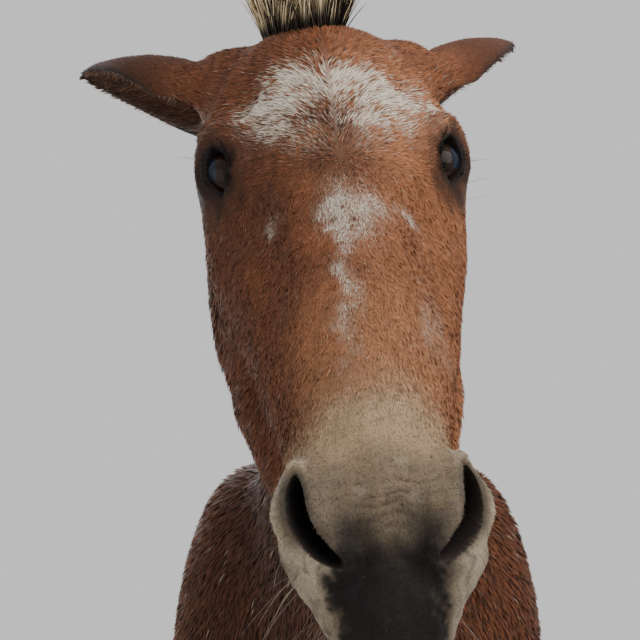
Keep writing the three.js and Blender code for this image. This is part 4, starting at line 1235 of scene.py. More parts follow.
def hair_material(name, sheen, bump, **values):
    """Painted hair colour with finer streaks of light and dark."""
    material, tree, shader, height = streaked(name, None, **values)
    shader.inputs["Sheen Weight"].default_value = sheen
    shader.inputs["Sheen Roughness"].default_value = 0.45
    shader.inputs["Specular IOR Level"].default_value = 0.14
    if bump:
        add_bump(tree, shader, height, 0.0012)
    return material


def eye_material():
    """Dark brown iris with a wide flat pupil under a clear wet surface."""
    material, tree, shader = new_material("eye")
    gaze = put(tree, "UVMap", {}, uv_map="gaze")
    split = put(tree, "SeparateXYZ", {"Vector": gaze.outputs["UV"]})

    def number(operation, *values):
        return put(tree, "Math", dict(enumerate(values)), operation=operation).outputs[0]

    def distance(*sides):
        squares = [number("POWER", number("ABSOLUTE", side), 2.0) for side in sides]
        return number("SQRT", number("ADD", *squares))

    x, y = split.outputs["X"], split.outputs["Y"]
    pupil = distance(number("DIVIDE", x, PUPIL_HALF_WIDTH), number("DIVIDE", y, PUPIL_HALF_HEIGHT))
    noise = object_noise(tree, 900.0, 3.0)
    fibre = ramp(tree, noise, (0.3, tint("iris") * 0.3), (0.7, tint("iris")))
    edge = ramp(tree, number("DIVIDE", distance(x, y), 1.6), (0.76, (0, 0, 0)), (0.86, (1, 1, 1)))
    white = ramp(tree, noise, (0.3, (0.02, 0.013, 0.010)), (0.7, (0.06, 0.04, 0.032)))
    hole = ramp(tree, pupil, (0.0, (1, 1, 1)), (0.92, (1, 1, 1)), (1.0, (0, 0, 0)))
    ball_colour = blend_colours(tree, edge, fibre, white)
    colour = blend_colours(tree, hole, ball_colour, (0.010, 0.014, 0.022, 1))
    tree.links.new(colour, shader.inputs["Base Color"])
    shader.inputs["Roughness"].default_value = 0.04
    shader.inputs["Specular IOR Level"].default_value = 0.12
    return material


def horn_material():
    """Dark hoof horn with rings of growth and fine upright lines."""
    material, tree, shader, height = streaked(
        "horn", tint("horn"), Scale=240.0, Detail=5.0, Stretch=(1, 1, 0.06), Depth=0.85, Roughness=0.62, Polish=0.2)
    place = put(tree, "TexCoord", {})
    rings = put(tree, "TexWave", {
        "Vector": place.outputs["Object"], "Scale": 60.0, "Distortion": 1.4, "Detail": 3.0, "Detail Scale": 0.6,
    }, wave_type="BANDS", bands_direction="Z")
    total = put(tree, "Math", {0: rings.outputs["Fac"], 1: 0.6, 2: height}, operation="MULTIPLY_ADD")
    add_bump(tree, shader, total.outputs[0], 0.0010)
    return material


def floor_material():
    return streaked("floor", tint("floor_colour"), Scale=3.0, Depth=0.08, Roughness=0.8, Polish=0.05)[0]


materials = {}


def material_for(name):
    makers = {
        "skin": lambda: hair_material("skin", 0.03, True, Scale=520.0, Depth=0.35, Roughness=0.78),
        "coat": lambda: hair_material("coat", 0.02, False, Scale=700.0, Depth=0.30, Roughness=0.64),
        "long_hair": lambda: hair_material("long_hair", 0.03, False, Scale=300.0, Depth=0.35, Roughness=0.58),
        "eye": eye_material, "horn": horn_material, "floor": floor_material,
    }
    if name not in materials:
        materials[name] = makers[name]()
    return materials[name]


def finish_piece(obj, material, nodes=()):
    obj.data.materials.clear()
    obj.data.materials.append(material_for(material))
    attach(obj, "root")
    if nodes:
        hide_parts(*nodes)
    return obj


# Properties
def tint_property(name, description, *seen):
    return bpy.props.FloatVectorProperty(
        name=name, description=description, subtype="COLOR", size=3, min=0, max=1, default=tuple(rgb(*seen)))


class MuleSettings(bpy.types.PropertyGroup):
    net_step: bpy.props.FloatProperty(
        name="Skin step", description="Edge length of the body's skin", default=0.013, unit="LENGTH")
    face_hairs: bpy.props.FloatProperty(
        name="Face hairs", description="Hairs for each square millimetre of the face", default=0.52)
    neck_hairs: bpy.props.FloatProperty(
        name="Neck hairs", description="Hairs for each square millimetre of the neck", default=0.09)
    body_hairs: bpy.props.FloatProperty(
        name="Body hairs", description="Hairs for each square millimetre of the body", default=0.042)
    leg_hairs: bpy.props.FloatProperty(
        name="Leg hairs", description="Hairs for each square millimetre of the legs", default=0.085)
    mane_height: bpy.props.FloatProperty(
        name="Mane height", description="Height of the upright mane", default=0.078, unit="LENGTH")
    mane_hairs: bpy.props.IntProperty(name="Mane hairs", description="Strands in the mane", default=9000)
    forelock_hairs: bpy.props.IntProperty(
        name="Forelock hairs", description="Strands in the forelock", default=3200)
    tail_length: bpy.props.FloatProperty(
        name="Tail length", description="Length of the tail from its root", default=0.80, unit="LENGTH")
    tail_hairs: bpy.props.IntProperty(name="Tail hairs", description="Strands in the tail", default=5200)
    floor_size: bpy.props.FloatProperty(
        name="Floor size", description="Width of the floor", default=14.0, unit="LENGTH")
    floor_light: bpy.props.FloatVectorProperty(
        name="Light colour", description="Colour of the soft light all round", subtype="COLOR", size=3,
        default=(0.96, 0.96, 0.96))
    # Chestnut and red brown also carry painted shade: chestnut on the lit side of the face, red brown on its shaded
    # side and on the neck and ears.
    chestnut: tint_property("Chestnut", "Lighter coat of the face", 157, 100, 66)
    red_brown: tint_property("Red brown", "Darker coat of the face, ears and neck", 114, 67, 43)
    dark_brown: tint_property("Dark brown", "Shaded coat, stripe on the back and tail", 52, 32, 23)
    black_point: tint_property("Black", "Lower legs, mane, tail and rims", 28, 22, 20)
    cream: tint_property("Cream", "Pale hairs of the roan patches", 226, 213, 195)
    mealy: tint_property("Mealy", "Pale band above the muzzle and on the chin", 180, 154, 122)
    muzzle_grey: tint_property("Muzzle", "Grey brown of the muzzle", 114, 101, 82)
    lip_black: tint_property("Lips", "Bare dark skin of the lips", 6, 5, 5)
    body: tint_property("Body", "Coat of the trunk", 118, 70, 43)
    belly: tint_property("Belly", "Pale coat under the trunk", 176, 146, 112)
    iris: tint_property("Iris", "Colour of the iris", 42, 29, 20)
    horn: tint_property("Horn", "Colour of the hooves", 56, 48, 42)
    floor_colour: tint_property("Floor", "Colour of the floor", 224, 224, 222)


pieces = {}


class MULE_OT_skin(bpy.types.Operator):
    """Make the skin of the whole animal with its face and ears"""
    bl_idname = "mule.skin"
    bl_label = "Skin"

    def execute(self, context):
        step = context.scene.mule.net_step * 1000
        p, faces = surface_net(skin_field, np.array([-340.0, -1440, 30]), np.array([340.0, 985, 1880]), step)
        skin = new_object("skin", to_metres(p), faces)
        set_points(skin, settle(skin_field, points_of(skin), 3))
        for level in range(2):
            p = points_of(skin)
            q = head_local(p)
            chosen = (head_weight(p) > 0.02) & (q[:, 1] > -40 + 105 * level) & (q[:, 2] < 240 - 98 * level)
            divide(skin, chosen)
            even_out(skin, np.full(len(skin.data.vertices), 0.5), 2)
            set_points(skin, settle(skin_field, points_of(skin), 3))
        p = points_of(skin)
        q = head_local(p)
        eye = eye_gap(q, EYE_PLACE - [0, 0, 7])
        hole = nostril_distance(q)
        low = np.flatnonzero((q[:, 1] > 440) & (q[:, 2] > 60))
        lip = np.full(len(p), 99.0)
        lip[low] = nearest(mouth_line(), p[low])[0]
        chosen = (eye < 38) | ((hole < 13) & (q[:, 1] > 480) & (q[:, 2] < 100)) | (lip < 9)
        divide(skin, chosen)
        set_points(skin, settle(skin_field, points_of(skin), 3))
        p = points_of(skin)
        fold = bell(p[:, 1] + 410, 100) * smooth((p[:, 2] - 1120) / 120)
        even_out(skin, 0.85 * fold, 40)
        self.face(skin)
        for s in (1, -1):
            combine(skin, ear_shape(s), "UNION")
        self.soften_ears(skin)
        for s in (1, -1):
            combine(skin, ball("eye_cut", s, 0.5), "DIFFERENCE")
            lids = [lid_ring(s, far, scale) for far, scale in ((6, 0.9), (22, 1), (48, 1.2))]
            combine(skin, tube("lid_cut", lids), "DIFFERENCE")
            combine(skin, nostril_cutter(s), "DIFFERENCE")
        self.soften_edges(skin)
        skin.data.shade_smooth()
        p = points_of(skin)
        colour, roan, black = markings(p)
        q = head_local(p)
        colour = cover(colour, tint("cream") * 0.85, roan * 0.85)
        colour = cover(colour, tint("black_point"), black * 0.6)
        # Inside each nostril: grey brown skin at the rim, then painted shade darkening to near black deeper in.
        shaded_hollow = ((q[:, 1] > 470) & (nostril_distance(q) < 2) & (skin_field(p) < -1.0))[:, None]
        deep = smooth(-nostril_distance(q) / 5)[:, None]
        colour = np.where(shaded_hollow, mix(rgb(74, 60, 54), rgb(14, 10, 10), deep), colour)
        edge = np.zeros(len(p))
        for s in (1, -1):
            _, far, ahead, _, _, gap = lid_view(p, s)
            edge = np.maximum(edge, bell(np.maximum(gap, 0), 6.5) * (far < 32) * (ahead > 0))
        colour = cover(colour, rgb(24, 18, 16), 0.9 * edge)
        paint(skin, colour * 0.62)
        flesh_nodes = ["neck", "head", "ear_left", "ear_right", "torso", *LEGS]
        finish_piece(skin, "skin", flesh_nodes)
        pieces["skin"] = skin
        return {"FINISHED"}

    def face(self, skin):
        """Lids, folds, nostril rims, lips and wrinkles, raised or pressed in along the skin's normals."""
        p = points_of(skin)
        for s in (1, -1):
            r, far, ahead, _, _, gap = lid_view(p, s)
            on_ball = EYE_RADIUS + 3.4
            hug = smooth((13 - gap) / 11) * (ahead > 0) * (far < 70) * (far > on_ball)
            p = lid_axes(s)[0] + r * mix(1.0, on_ball / np.maximum(far, 1), hug)[:, None]
        set_points(skin, p)
        n = normals_of(skin)
        q = head_local(p)
        x, v, d = q.T
        height = np.zeros(len(p))
        for s in (1, -1):
            _, far, ahead, a, b, gap = lid_view(p, s)
            near = np.exp(-np.maximum(far - 26, 0) / 20) * (ahead > -4)
            near = near * (0.75 + 0.35 * ripple(p, 30, 34))
            upper = smooth(b / 6 + 0.3)
            folds = 1.3 * bell(gap - 3.0, 3.2) - 2.2 * bell(a - 22, 6) * bell(b + 1, 2.4)
            for above, rows in ((upper, UPPER_FOLDS), (1 - upper, LOWER_FOLDS)):
                for rise, away, lean, thick, middle, wide in rows:
                    folds += rise * bell(gap - away - lean * a, thick) * above * bell(a - middle, wide)
            height += folds * near
        hole = nostril_distance(q)
        muzzle = smooth((v - 470) / 25) * (d < 95)
        outside = smooth((np.abs(x) - 46) / 8)
        rim = mix(1.6, 4.4, outside) * bell(hole - 6.0, 5.5)
        rim -= mix(0.8, 2.6, outside) * bell(hole - 17, 5)
        height += rim * muzzle
        ridge = bell(x, 10) * bell(v - 572, 22) * smooth((70 - d) / 20)
        groove = bell(np.abs(x) - 18, 6) * bell(v - 570, 20) * smooth((70 - d) / 20)
        height += 1.5 * ridge - 2.2 * groove
        for place, bend, wide, deep in MUZZLE_CREASES:
            height -= deep * across_muzzle(q, place, bend, wide, 1.5) * smooth((60 - d) / 20)
        height -= 0.9 * bell(x - 1.5 * np.sin(v / 6), 1.5) * bell(v - 548, 14) * smooth((60 - d) / 20)
        whorl = np.hypot(x - 3, v - WHORL_HEIGHT)
        height -= 1.2 * bell(whorl, 7) * (d < 70)
        height += 0.5 * ripple(p, 26, 31) * head_weight(p) * smooth((eye_gap(q) - 20) / 20)
        height += (0.5 * ripple(p, 9, 32) + 0.9 * ripple(p, 22, 33)) * muzzle
        line = mouth_line()
        near = np.flatnonzero((v > 430) & (d > 50))
        gap, which = nearest(line, p[near])
        above = ((p[near] - line[which]) @ HEAD_DEPTH) < 0
        ends = np.abs(which / (len(line) - 1) * 2 - 1)
        lip = -6.5 * bell(gap, 2.3) + np.where(above, 2.4, 1.4) * bell(gap - 7, 4.5)
        height[near] += lip * (1 - 0.75 * smooth((ends - 0.7) / 0.3))
        streaks = np.sin(np.arctan2(x, v - 500) * 60) * smooth((v - 575) / 20) * (d < 110)
        height += 0.35 * streaks
        set_points(skin, p + n * height[:, None])

    def soften_ears(self, skin):
        p = points_of(skin)
        near = np.zeros(len(p))
        for s in (1, -1):
            base, axis, opening, across = ear_axes(s)
            r = p - base
            t = r @ axis
            around = np.hypot(r @ opening, r @ across)
            near = np.maximum(near, smooth((34 - t) / 26) * smooth((t + 46) / 16) * smooth((64 - around) / 16))
        even_out(skin, 0.75 * near, 14)

    def soften_edges(self, skin):
        p = points_of(skin)
        q = head_local(p)
        hole = nostril_distance(q)
        outside = smooth((np.abs(q[:, 0]) - 46) / 8)
        near = bell(hole - 0.5, mix(2.0, 4.5, outside)) * ((q[:, 1] > 480) & (q[:, 2] < 80))
        for s in (1, -1):
            _, far, ahead, _, _, gap = lid_view(p, s)
            near = np.maximum(near, 0.35 * bell(gap, 1.2) * (far > EYE_RADIUS + 1.5) * (far < 32) * (ahead > 0))
        even_out(skin, 0.6 * near, 7)


class MULE_OT_eyes(bpy.types.Operator):
    """Make the eyeballs with iris, pupil and clear front"""
    bl_idname = "mule.eyes"
    bl_label = "Eyes"

    def execute(self, context):
        for s, name in ((1, "eye_left"), (-1, "eye_right")):
            eye = ball(name + "_ball", s, 0.0, 72, 48)
            centre, gaze, along, lift = eye_axes(s)
            d = unit(points_of(eye) - centre)
            polar = np.arccos(np.clip(d @ gaze, -1, 1))
            flat = np.stack([d @ along, d @ lift], 1)
            uv = unit(flat) * polar[:, None]
            layer = eye.data.uv_layers.new(name="gaze")
            corner = np.empty(len(eye.data.loops), np.int32)
            eye.data.loops.foreach_get("vertex_index", corner)
            layer.data.foreach_set("uv", uv[corner].astype(np.float32).ravel())
            finish_piece(eye, "eye", [name])
        return {"FINISHED"}


# Up the hoof: height, lean, half width and half length
HOOF_ROWS = np.array([[0, -15, 56, 68], [4, -14.5, 57, 68], [45, -4, 51, 57], [80, 5, 46, 50]], float)
HOOF_STEPS = (0, 0.02, 0.06, 0.15, 0.25, 0.35, 0.45, 0.55, 0.65, 0.75, 0.85, 0.93, 0.98, 1.0)


class MULE_OT_hooves(bpy.types.Operator):
    """Make the four hooves"""
    bl_idname = "mule.hooves"
    bl_label = "Hooves"

    def execute(self, context):
        for leg, name in HOOF_OF.items():
            rows = LEGS[leg]
            cx, cy = rows[-1, 0], rows[-1, 1]
            a = 2 * np.pi * np.arange(64) / 64
            rings = []
            for t in HOOF_STEPS:
                lean, wide, long = (np.interp(t * 62, HOOF_ROWS[:, 0], HOOF_ROWS[:, j]) for j in (1, 2, 3))
                inset = 1.5 if t in (0, 1.0) else 0.0
                heel = np.where(np.sin(a) > 0, mix(1, 0.86, np.sin(a)), 1)
                ridge = 0.6 * np.sin(t * 34) * (0 < t < 1)
                y = lean + np.sin(a) * (long - inset + ridge) * heel
                z = t * (60 - 0.3617 * y)
                notch = 1 - 0.16 * bell(a - np.pi / 2, 0.28) * (1 - t)
                rings.append(np.stack([cx + np.cos(a) * (wide - inset + ridge), cy + y * notch, z], 1))
            hoof = tube(name + "_horn", rings, np.array([cx, cy - 15, 0.0]), np.array([cx, cy, 58.0]))
            finish_piece(hoof, "horn", [name])
        return {"FINISHED"}


def strands(name, root, start, bend, length, width, low, high, steps, seed, patch, flat=None, middle=None):
    """Long hairs: each a narrow strip that bends from its starting way."""
    rng = np.random.default_rng(seed)
    n = len(root)
    start, bend = unit(start), np.asarray(bend, float)
    flat = unit(rng.normal(size=(n, 3))) if flat is None else unit(flat)
    side_way = unit(np.cross(start, flat))
    wave = rng.uniform(0, 2 * np.pi, (n, 1))
    lengths = length[:, None]

    def station(t):
        spine = root + start * lengths * t + bend * lengths * t * t
        spine = spine + side_way * np.sin(wave + t * 5) * lengths * 0.012 * t
        wide = (width / 2)[:, None] * (1 - 0.7 * t ** 2)
        if middle is None:
            colour = mix(low, high, smooth((t - 0.1) / 0.75))
        elif t < 0.5:
            colour = mix(low, middle, smooth((t - 0.14) / 0.36))
        else:
            colour = mix(middle, high, smooth((t - 0.5) / 0.5))
        return spine, side_way * wide, colour, unit(flat + rng.normal(0, 0.1, (n, 3)))

    return make_strips(name, steps, station, side_way * 0.5, spread_out(patch))


def hair_share():
    return 1.0


def joined(rows):
    """The columns of a list of rows of tables, each joined to one table."""
    return [np.concatenate(column) for column in zip(*rows)]


# Where one piece of the coat ends and the next begins
NECK_END, TRUNK_MIDDLE = -440, 200
LEG_TOP, LEG_FOOT = 760, 47.6


def is_head(p):
    return head_weight(p) > 0.5


def is_neck(p):
    return ~is_head(p) & (p[:, 1] < NECK_END) & (p[:, 2] > LEG_TOP)


def is_leg(p):
    return ~is_head(p) & (p[:, 2] <= LEG_TOP) & (p[:, 2] > LEG_FOOT)


def is_front(p):
    return ~is_head(p) & ~is_neck(p) & (p[:, 2] > LEG_TOP) & (p[:, 1] < TRUNK_MIDDLE)


def is_rear(p):
    return ~is_head(p) & (p[:, 2] > LEG_TOP) & (p[:, 1] >= TRUNK_MIDDLE)


class MULE_OT_coat(bpy.types.Operator):
    """Grow the short coat in tufts over the whole skin"""
    bl_idname = "mule.coat"
    bl_label = "Coat"

    def execute(self, context):
        skin = pieces["skin"]
        m = context.scene.mule
        share = hair_share()

        def face_density(p):
            q = head_local(p)
            thin = mix(1.0, 0.45, smooth((q[:, 2] - 90) / 60))
            thin = np.where(q[:, 1] > 455, thin * 1.5, thin)
            return m.face_hairs * share * thin * np.where(ear_place(p)[0] > 0.02, 0.8, 1.0)

        def face_part(low, high, s):
            def choose(p):
                q = head_local(p)
                return is_head(p) & (q[:, 1] >= low) & (q[:, 1] < high) & (q[:, 0] * s >= 0)
            return choose

        def even(value):
            return lambda p: np.full(len(p), value * share)

        coats = [
            ("coat_brow_left", "head", face_part(-200, WHORL_HEIGHT, 1), face_density, 101),
            ("coat_brow_right", "head", face_part(-200, WHORL_HEIGHT, -1), face_density, 102),
            ("coat_muzzle_left", "head", face_part(WHORL_HEIGHT, 900, 1), face_density, 107),
            ("coat_muzzle_right", "head", face_part(WHORL_HEIGHT, 900, -1), face_density, 108),
            ("coat_neck", "neck", is_neck, even(m.neck_hairs), 103),
            ("coat_trunk_front", "trunk", is_front, even(m.body_hairs), 104),
            ("coat_trunk_rear", "trunk", is_rear, even(m.body_hairs), 105),
            ("coat_legs", "legs", is_leg, even(m.leg_hairs), 106),
        ]
        for name, part, choose, density, seed in coats:
            finish_piece(grow_coat(name, skin, part, choose, density, seed), "coat")
        return {"FINISHED"}


class MULE_OT_mane(bpy.types.Operator):
    """Grow the upright mane and the forelock"""
    bl_idname = "mule.mane"
    bl_label = "Mane and forelock"

    def execute(self, context):
        m = context.scene.mule
        share = hair_share()
        rng = np.random.default_rng(201)
        centres = np.array([row[0] for row in NECK[:4]], float)
        n = int(m.mane_hairs * share)
        t = rng.uniform(0.12, 1.0, n)
        along = np.interp(t, np.linspace(0, 1, 61), np.linspace(0, 3, 61))
        o = np.stack([np.interp(along, range(4), centres[:, i]) for i in range(3)], 1)
        d = unit([0, 0.55, 0.83])
        lateral = rng.uniform(-1, 1, n) * 15
        o = o + np.outer(lateral, X_AXIS)
        root = o + d * reach(o, np.tile(d, (n, 1)), skin_field, 400)[:, None]
        forward = unit([0, -0.83, 0.55])
        clump = ripples(root, 30, 41)
        height = m.mane_height * 1000 * mix(0.5, 1.0, smooth(t / 0.5)) * rng.uniform(0.78, 1.08, n)
        height = height * (1 - 0.25 * (lateral / 15) ** 2) * (1 + 0.1 * clump[:, 0])
        outward = np.outer(lateral / 15, X_AXIS)
        start = d + outward * 0.16 + forward * rng.normal(0.06, 0.07, (n, 1)) + clump * 0.10
        bend = outward * 0.12 + forward * rng.normal(0.02, 0.08, (n, 1)) + clump * 0.05
        rim = (np.abs(lateral) > 8)[:, None]
        low = np.tile(tint("black_point"), (n, 1)) * rng.uniform(0.7, 1.5, (n, 1))
        pale = rng.random((n, 1)) < 0.8
        high = np.where(rim & pale, rgb(222, 196, 158) * rng.uniform(0.7, 1.15, (n, 1)), low * 1.6)
        low = np.where(rim, mix(low, rgb(140, 98, 64), 0.3), low)
        mane = strands("mane", root - d * 3, start, bend, height, rng.uniform(0.9, 1.7, n), low, high, 4, 202,
                       np.stack([lateral, t], 1),
                       flat=np.outer(np.sign(lateral), X_AXIS) + rng.normal(0, 0.5, (n, 3)))
        finish_piece(mane, "long_hair")
        n = int(m.forelock_hairs * share)
        angle = rng.uniform(0, 2 * np.pi, n)
        radius = np.sqrt(rng.random(n))
        x = radius * np.cos(angle) * 35 - 10
        y = 37 + radius * np.sin(angle) * 26
        o = head_place(np.stack([x, y, np.full(n, 80.0)], 1))
        inward = -HEAD_DEPTH
        root = o + inward * reach(o, np.tile(inward, (n, 1)), skin_field, 200)[:, None]
        fan = np.stack([(x + 10) / 35 * 0.14 - 0.03, -0.40 - 0.18 * (y - 37) / 26, 0 * x + 0.92], 1)
        clump = ripples(root, 22, 51)
        start = fan + 0.16 * clump + rng.normal(0, 0.09, (n, 3))
        bend = np.stack([(x + 10) / 35 * 0.06, -0.10 + 0 * x, -0.05 + 0 * x], 1) + 0.12 * clump
        length = rng.uniform(60, 90, n) * (1 - 0.2 * radius ** 2) * (1 - 0.4 * smooth((x - 4) / 20))
        dark = rng.random(n) < mix(0.2, 0.75, smooth((x - 2) / 18))
        root_dark = tint("black_point") * rng.uniform(0.7, 1.4, (n, 1))
        tip = np.where(dark[:, None], root_dark * 1.5, rgb(236, 212, 170) * rng.uniform(0.75, 1.12, (n, 1)))
        middle = np.where(dark[:, None], root_dark, mix(root_dark, tip, 0.85))
        lock = strands("forelock", root - fan * 3, start, bend, length, rng.uniform(0.9, 1.6, n), root_dark, tip,
                       5, 203, np.stack([x, y], 1), middle=middle)
        finish_piece(lock, "long_hair")
        return {"FINISHED"}


class MULE_OT_tail(bpy.types.Operator):
    """Hang the hair of the tail round the dock"""
    bl_idname = "mule.tail"
    bl_label = "Tail hair"

    def execute(self, context):
        m = context.scene.mule
        share = hair_share()
        rng = np.random.default_rng(301)
        n = int(m.tail_hairs * share)
        centres = np.array([row[0] for row in DOCK], float)
        t = rng.beta(1.6, 1.0, n) * 0.92 + 0.08
        along = t * 4
        c = np.stack([np.interp(along, range(5), centres[:, i]) for i in range(3)], 1)
        radius = np.interp(along, range(5), [36, 33, 26, 18, 10])
        angle = rng.uniform(0, 2 * np.pi, n)
        angle = np.where((np.cos(angle) < -0.2) & (t < 0.4), angle + np.pi, angle)
        out = np.stack([np.sin(angle), np.cos(angle) * 0.85, np.zeros(n)], 1)
        root = c + out * radius[:, None] * 0.9
        drop = mix(0.86, 1.06, rng.random(n) ** 0.6) * mix(0.86, 1.0, smooth(t / 0.6))
        end = 1352 - m.tail_length * 1000 * drop
        length = np.maximum(c[:, 2] - end, 60)
        clump = ripples(root, 34, 61) * [1, 1, 0]
        start = out * 0.13 + np.array([0, 0.03, -1.0]) + clump * 0.03
        bend = out * -0.085 + clump * 0.025 + rng.normal(0, 0.008, (n, 3)) + np.array([0, -0.045, 0])
        low = tint("black_point") * rng.uniform(0.7, 1.6, (n, 1))
        edge = (t < 0.35)[:, None] & (np.abs(out[:, :1]) > 0.6) & (rng.random((n, 1)) < 0.5)
        low = np.where(edge, rgb(150, 122, 92) * rng.uniform(0.6, 1.1, (n, 1)), low)
        high = mix(low, rgb(92, 62, 42), 0.45) * rng.uniform(0.7, 1.2, (n, 1))
        hair = strands("tail_hair", root, start, bend, length, rng.uniform(1.6, 3.0, n), low, high, 7, 302,
                       np.stack([angle, t], 1), flat=out)
        finish_piece(hair, "long_hair", ["tail"])
        return {"FINISHED"}


# Lashes of each lid: how many, upper or lower, and length
LASHES = ((110, 1, 17.0), (34, -1, 8.0))
LASH_TONE, WHISKER_TONE = rgb(22, 17, 15), rgb(40, 30, 26)
EYE_WHISKERS = 6
CHIN_WHISKERS = 260
EAR_HAIRS = 2600


class MULE_OT_fine_hair(bpy.types.Operator):
    """Grow lashes, whiskers and the hair in the ears"""
    bl_idname = "mule.fine_hair"
    bl_label = "Fine hair"

    def execute(self, context):
        rng = np.random.default_rng(401)
        rows = []
        for s in (1, -1):
            centre, gaze, along, lift = lid_axes(s)
            for count, top, size in LASHES:
                a = rng.uniform(-0.95, 0.8, count) * LID_HALF
                r = LID_UPPER if top > 0 else LID_LOWER
                b = top * r * (1 - (a / LID_HALF) ** 2) - 1 + top * 1.2
                plane = np.sqrt(np.maximum((EYE_RADIUS + 2.6) ** 2 - a ** 2 - b ** 2, 1))
                root = centre + gaze * plane[:, None] + np.outer(a, along) + np.outer(b, lift)
                fan = gaze * 0.95 + np.outer(a / LID_HALF * 0.4, along) + lift * top * 0.30
                rows.append((
                    root, fan + rng.normal(0, 0.06, (count, 3)), lift * top * 0.10 + along * 0.12 + 0 * root,
                    size * rng.uniform(0.7, 1.2, count), np.full(count, 0.55), np.tile(LASH_TONE, (count, 1))))
            count = EYE_WHISKERS
            a = rng.uniform(-26, 26, count)
            b = rng.uniform(18, 30, count) * np.where(rng.random(count) < 0.5, 1, -1)
            o = centre + np.outer(a, along) + np.outer(b, lift)
            out = np.tile(gaze, (count, 1))
            root = o + gaze * reach(o - gaze * 4, out, skin_field, 60)[:, None] - gaze * 4
            rows.append((
                root, gaze + 0.4 * np.outer(b / 30, lift) + rng.normal(0, 0.15, (count, 3)),
                -Z_AXIS * 0.2 + 0 * root, rng.uniform(14, 26, count), np.full(count, 0.4),
                np.tile(WHISKER_TONE, (count, 1))))
        count = CHIN_WHISKERS
        angle = rng.uniform(-np.pi, np.pi, count)
        y = rng.uniform(500, 585, count)
        o = head_place(np.stack([np.zeros(count), y * 0 + 525 + (y - 525) * 0.4, np.full(count, 90.0)], 1))
        d = head_turn(np.stack([np.sin(angle), 0.15 + rng.uniform(0, 1.1, count), np.cos(angle)], 1))
        root = o + d * reach(o, d, skin_field, 140)[:, None]
        q = head_local(root)
        keep = (nostril_distance(q) > 6) & ((q[:, 2] > 70) | (np.abs(q[:, 0]) > 50))
        root, d = root[keep], d[keep]
        count = len(root)
        rows.append((
            root, d + rng.normal(0, 0.25, (count, 3)) + np.array([0, 0, -0.2]),
            np.array([0, 0, -0.35]) + rng.normal(0, 0.1, (count, 3)), rng.uniform(14, 52, count),
            np.full(count, 0.32), np.where(rng.random((count, 1)) < 0.6, rgb(128, 116, 104), rgb(46, 38, 34))
            * rng.uniform(0.7, 1.1, (count, 1))))
        root, start, bend, length, width, colour = joined(rows)
        fine = strands("lashes_and_whiskers", root, start, bend, length, width, colour, colour * 1.15, 5, 402,
                       unroll(root, "head"))
        finish_piece(fine, "long_hair")
        rows = []
        for s in (1, -1):
            base, axis, opening, across = ear_axes(s)
            n = int(EAR_HAIRS * hair_share())
            t = rng.uniform(0.03, 0.86, n)
            w, gape, bow = ear_section(t)
            span = rng.uniform(-1, 1, n)
            span = np.sign(span) * np.abs(span) ** 0.55
            a = np.pi + (np.pi - gape) * span * 0.97
            c = base + np.outer(t * EAR_LENGTH, axis) + np.outer(bow, opening)
            thick = mix(5.0, 2.2, t)
            out = np.outer(np.cos(a), opening) + np.outer(np.sin(a), across)
            root = c + np.outer(np.cos(a) * (w * 0.72 - thick), opening)
            root = root + np.outer(np.sin(a) * (w - thick), across)
            rows.append((
                root, unit(-out) * 0.55 + axis * 0.5 + opening * 0.45 + rng.normal(0, 0.14, (n, 3)),
                axis * 0.22 + opening * 0.1 + 0 * root, rng.uniform(7, 15, n) * mix(1.0, 0.5, t),
                np.where(rng.random((n, 1)) < 0.35, rgb(132, 92, 66), rgb(66, 40, 28))
                * rng.uniform(0.6, 1.1, (n, 1)), np.stack([s * 1.05 + span, t], 1), opening + 0 * root))
        root, start, bend, length, colour, patch, flat = joined(rows)
        width = rng.uniform(0.7, 1.2, len(root))
        # Roots painted darker than tips: painted shade inside the ear.
        hair = strands("ear_hair", root, start, bend, length, width, colour * 0.6, colour, 3, 403, patch, flat=flat)
        finish_piece(hair, "long_hair")
        return {"FINISHED"}


# Lights: name, place, point they look at, width and power
LIGHTS = (
    ("key", (2.2, -3.2, 3.6), (0.0, -0.9, 1.5), 3.6, 190), ("fill", (-3.0, -3.0, 1.6), (0, -0.6, 1.3), 3.0, 34),
    ("rear", (-1.5, 3.6, 3.2), (0, 0.3, 1.2), 2.6, 110), ("low", (0.6, -3.4, 0.6), (0, -0.9, 1.5), 3.0, 22),
)


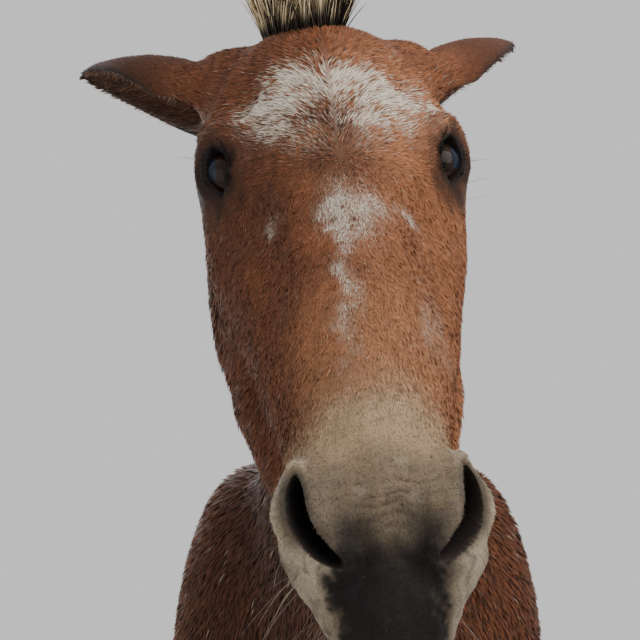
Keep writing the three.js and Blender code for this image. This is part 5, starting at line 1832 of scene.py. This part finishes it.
class MULE_OT_stage(bpy.types.Operator):
    """Make the floor, the lights and the camera"""
    bl_idname = "mule.stage"
    bl_label = "Stage"

    def execute(self, context):
        size = context.scene.mule.floor_size
        bpy.ops.object.select_all(action="DESELECT")
        bpy.ops.mesh.primitive_grid_add(x_subdivisions=8, y_subdivisions=8, size=size, location=(0, 0, 0))
        floor = context.object
        floor.name = "floor"
        floor.data.materials.append(material_for("floor"))
        world = context.scene.world or bpy.data.worlds.new("world")
        context.scene.world = world
        world.use_nodes = True
        background = world.node_tree.nodes["Background"]
        background.inputs["Color"].default_value = (*context.scene.mule.floor_light, 1)
        background.inputs["Strength"].default_value = 0.8
        for name, place, aim, width, power in LIGHTS:
            way = np.array(place) - np.array(aim)
            flat = math.hypot(way[0], way[1])
            turn = (math.atan2(flat, way[2]), 0, math.atan2(way[1], way[0]) + math.pi / 2)
            bpy.ops.object.light_add(type="AREA", location=place, rotation=turn)
            light = context.object
            light.name = name
            light.data.size = width
            light.data.energy = power
        bpy.ops.object.camera_add(location=CAMERA_PLACE, rotation=(math.radians(90 + CAMERA_PITCH), 0, 0))
        camera = context.object
        camera.name = "camera"
        camera.data.lens = CAMERA_LENS
        camera.data.sensor_width = 36.0
        camera.data.dof.use_dof = False
        context.scene.camera = camera
        return {"FINISHED"}


class MULE_PT_panel(bpy.types.Panel):
    """Sizes and buttons of the mule"""
    bl_idname = "MULE_PT_panel"
    bl_label = "Mule"
    bl_space_type = "VIEW_3D"
    bl_region_type = "UI"
    bl_category = "Mule"

    def draw(self, context):
        layout = self.layout
        for name in MuleSettings.__annotations__:
            layout.prop(context.scene.mule, name)
        for operator in OPERATORS:
            layout.operator(operator.bl_idname)


OPERATORS = (
    MULE_OT_stage, MULE_OT_skin, MULE_OT_eyes, MULE_OT_hooves, MULE_OT_coat, MULE_OT_mane, MULE_OT_tail,
    MULE_OT_fine_hair,
)
CLASSES = (MuleSettings, *OPERATORS, MULE_PT_panel)


def register():
    for one in CLASSES:
        bpy.utils.register_class(one)
    bpy.types.Scene.mule = bpy.props.PointerProperty(type=MuleSettings)


def unregister():
    del bpy.types.Scene.mule
    for one in reversed(CLASSES):
        bpy.utils.unregister_class(one)


def main():
    register()
    bpy.ops.mule.stage()
    bpy.ops.mule.skin()
    bpy.ops.mule.eyes()
    bpy.ops.mule.hooves()
    bpy.ops.mule.coat()
    bpy.ops.mule.mane()
    bpy.ops.mule.tail()
    bpy.ops.mule.fine_hair()


if __name__ == "__main__":
    main()
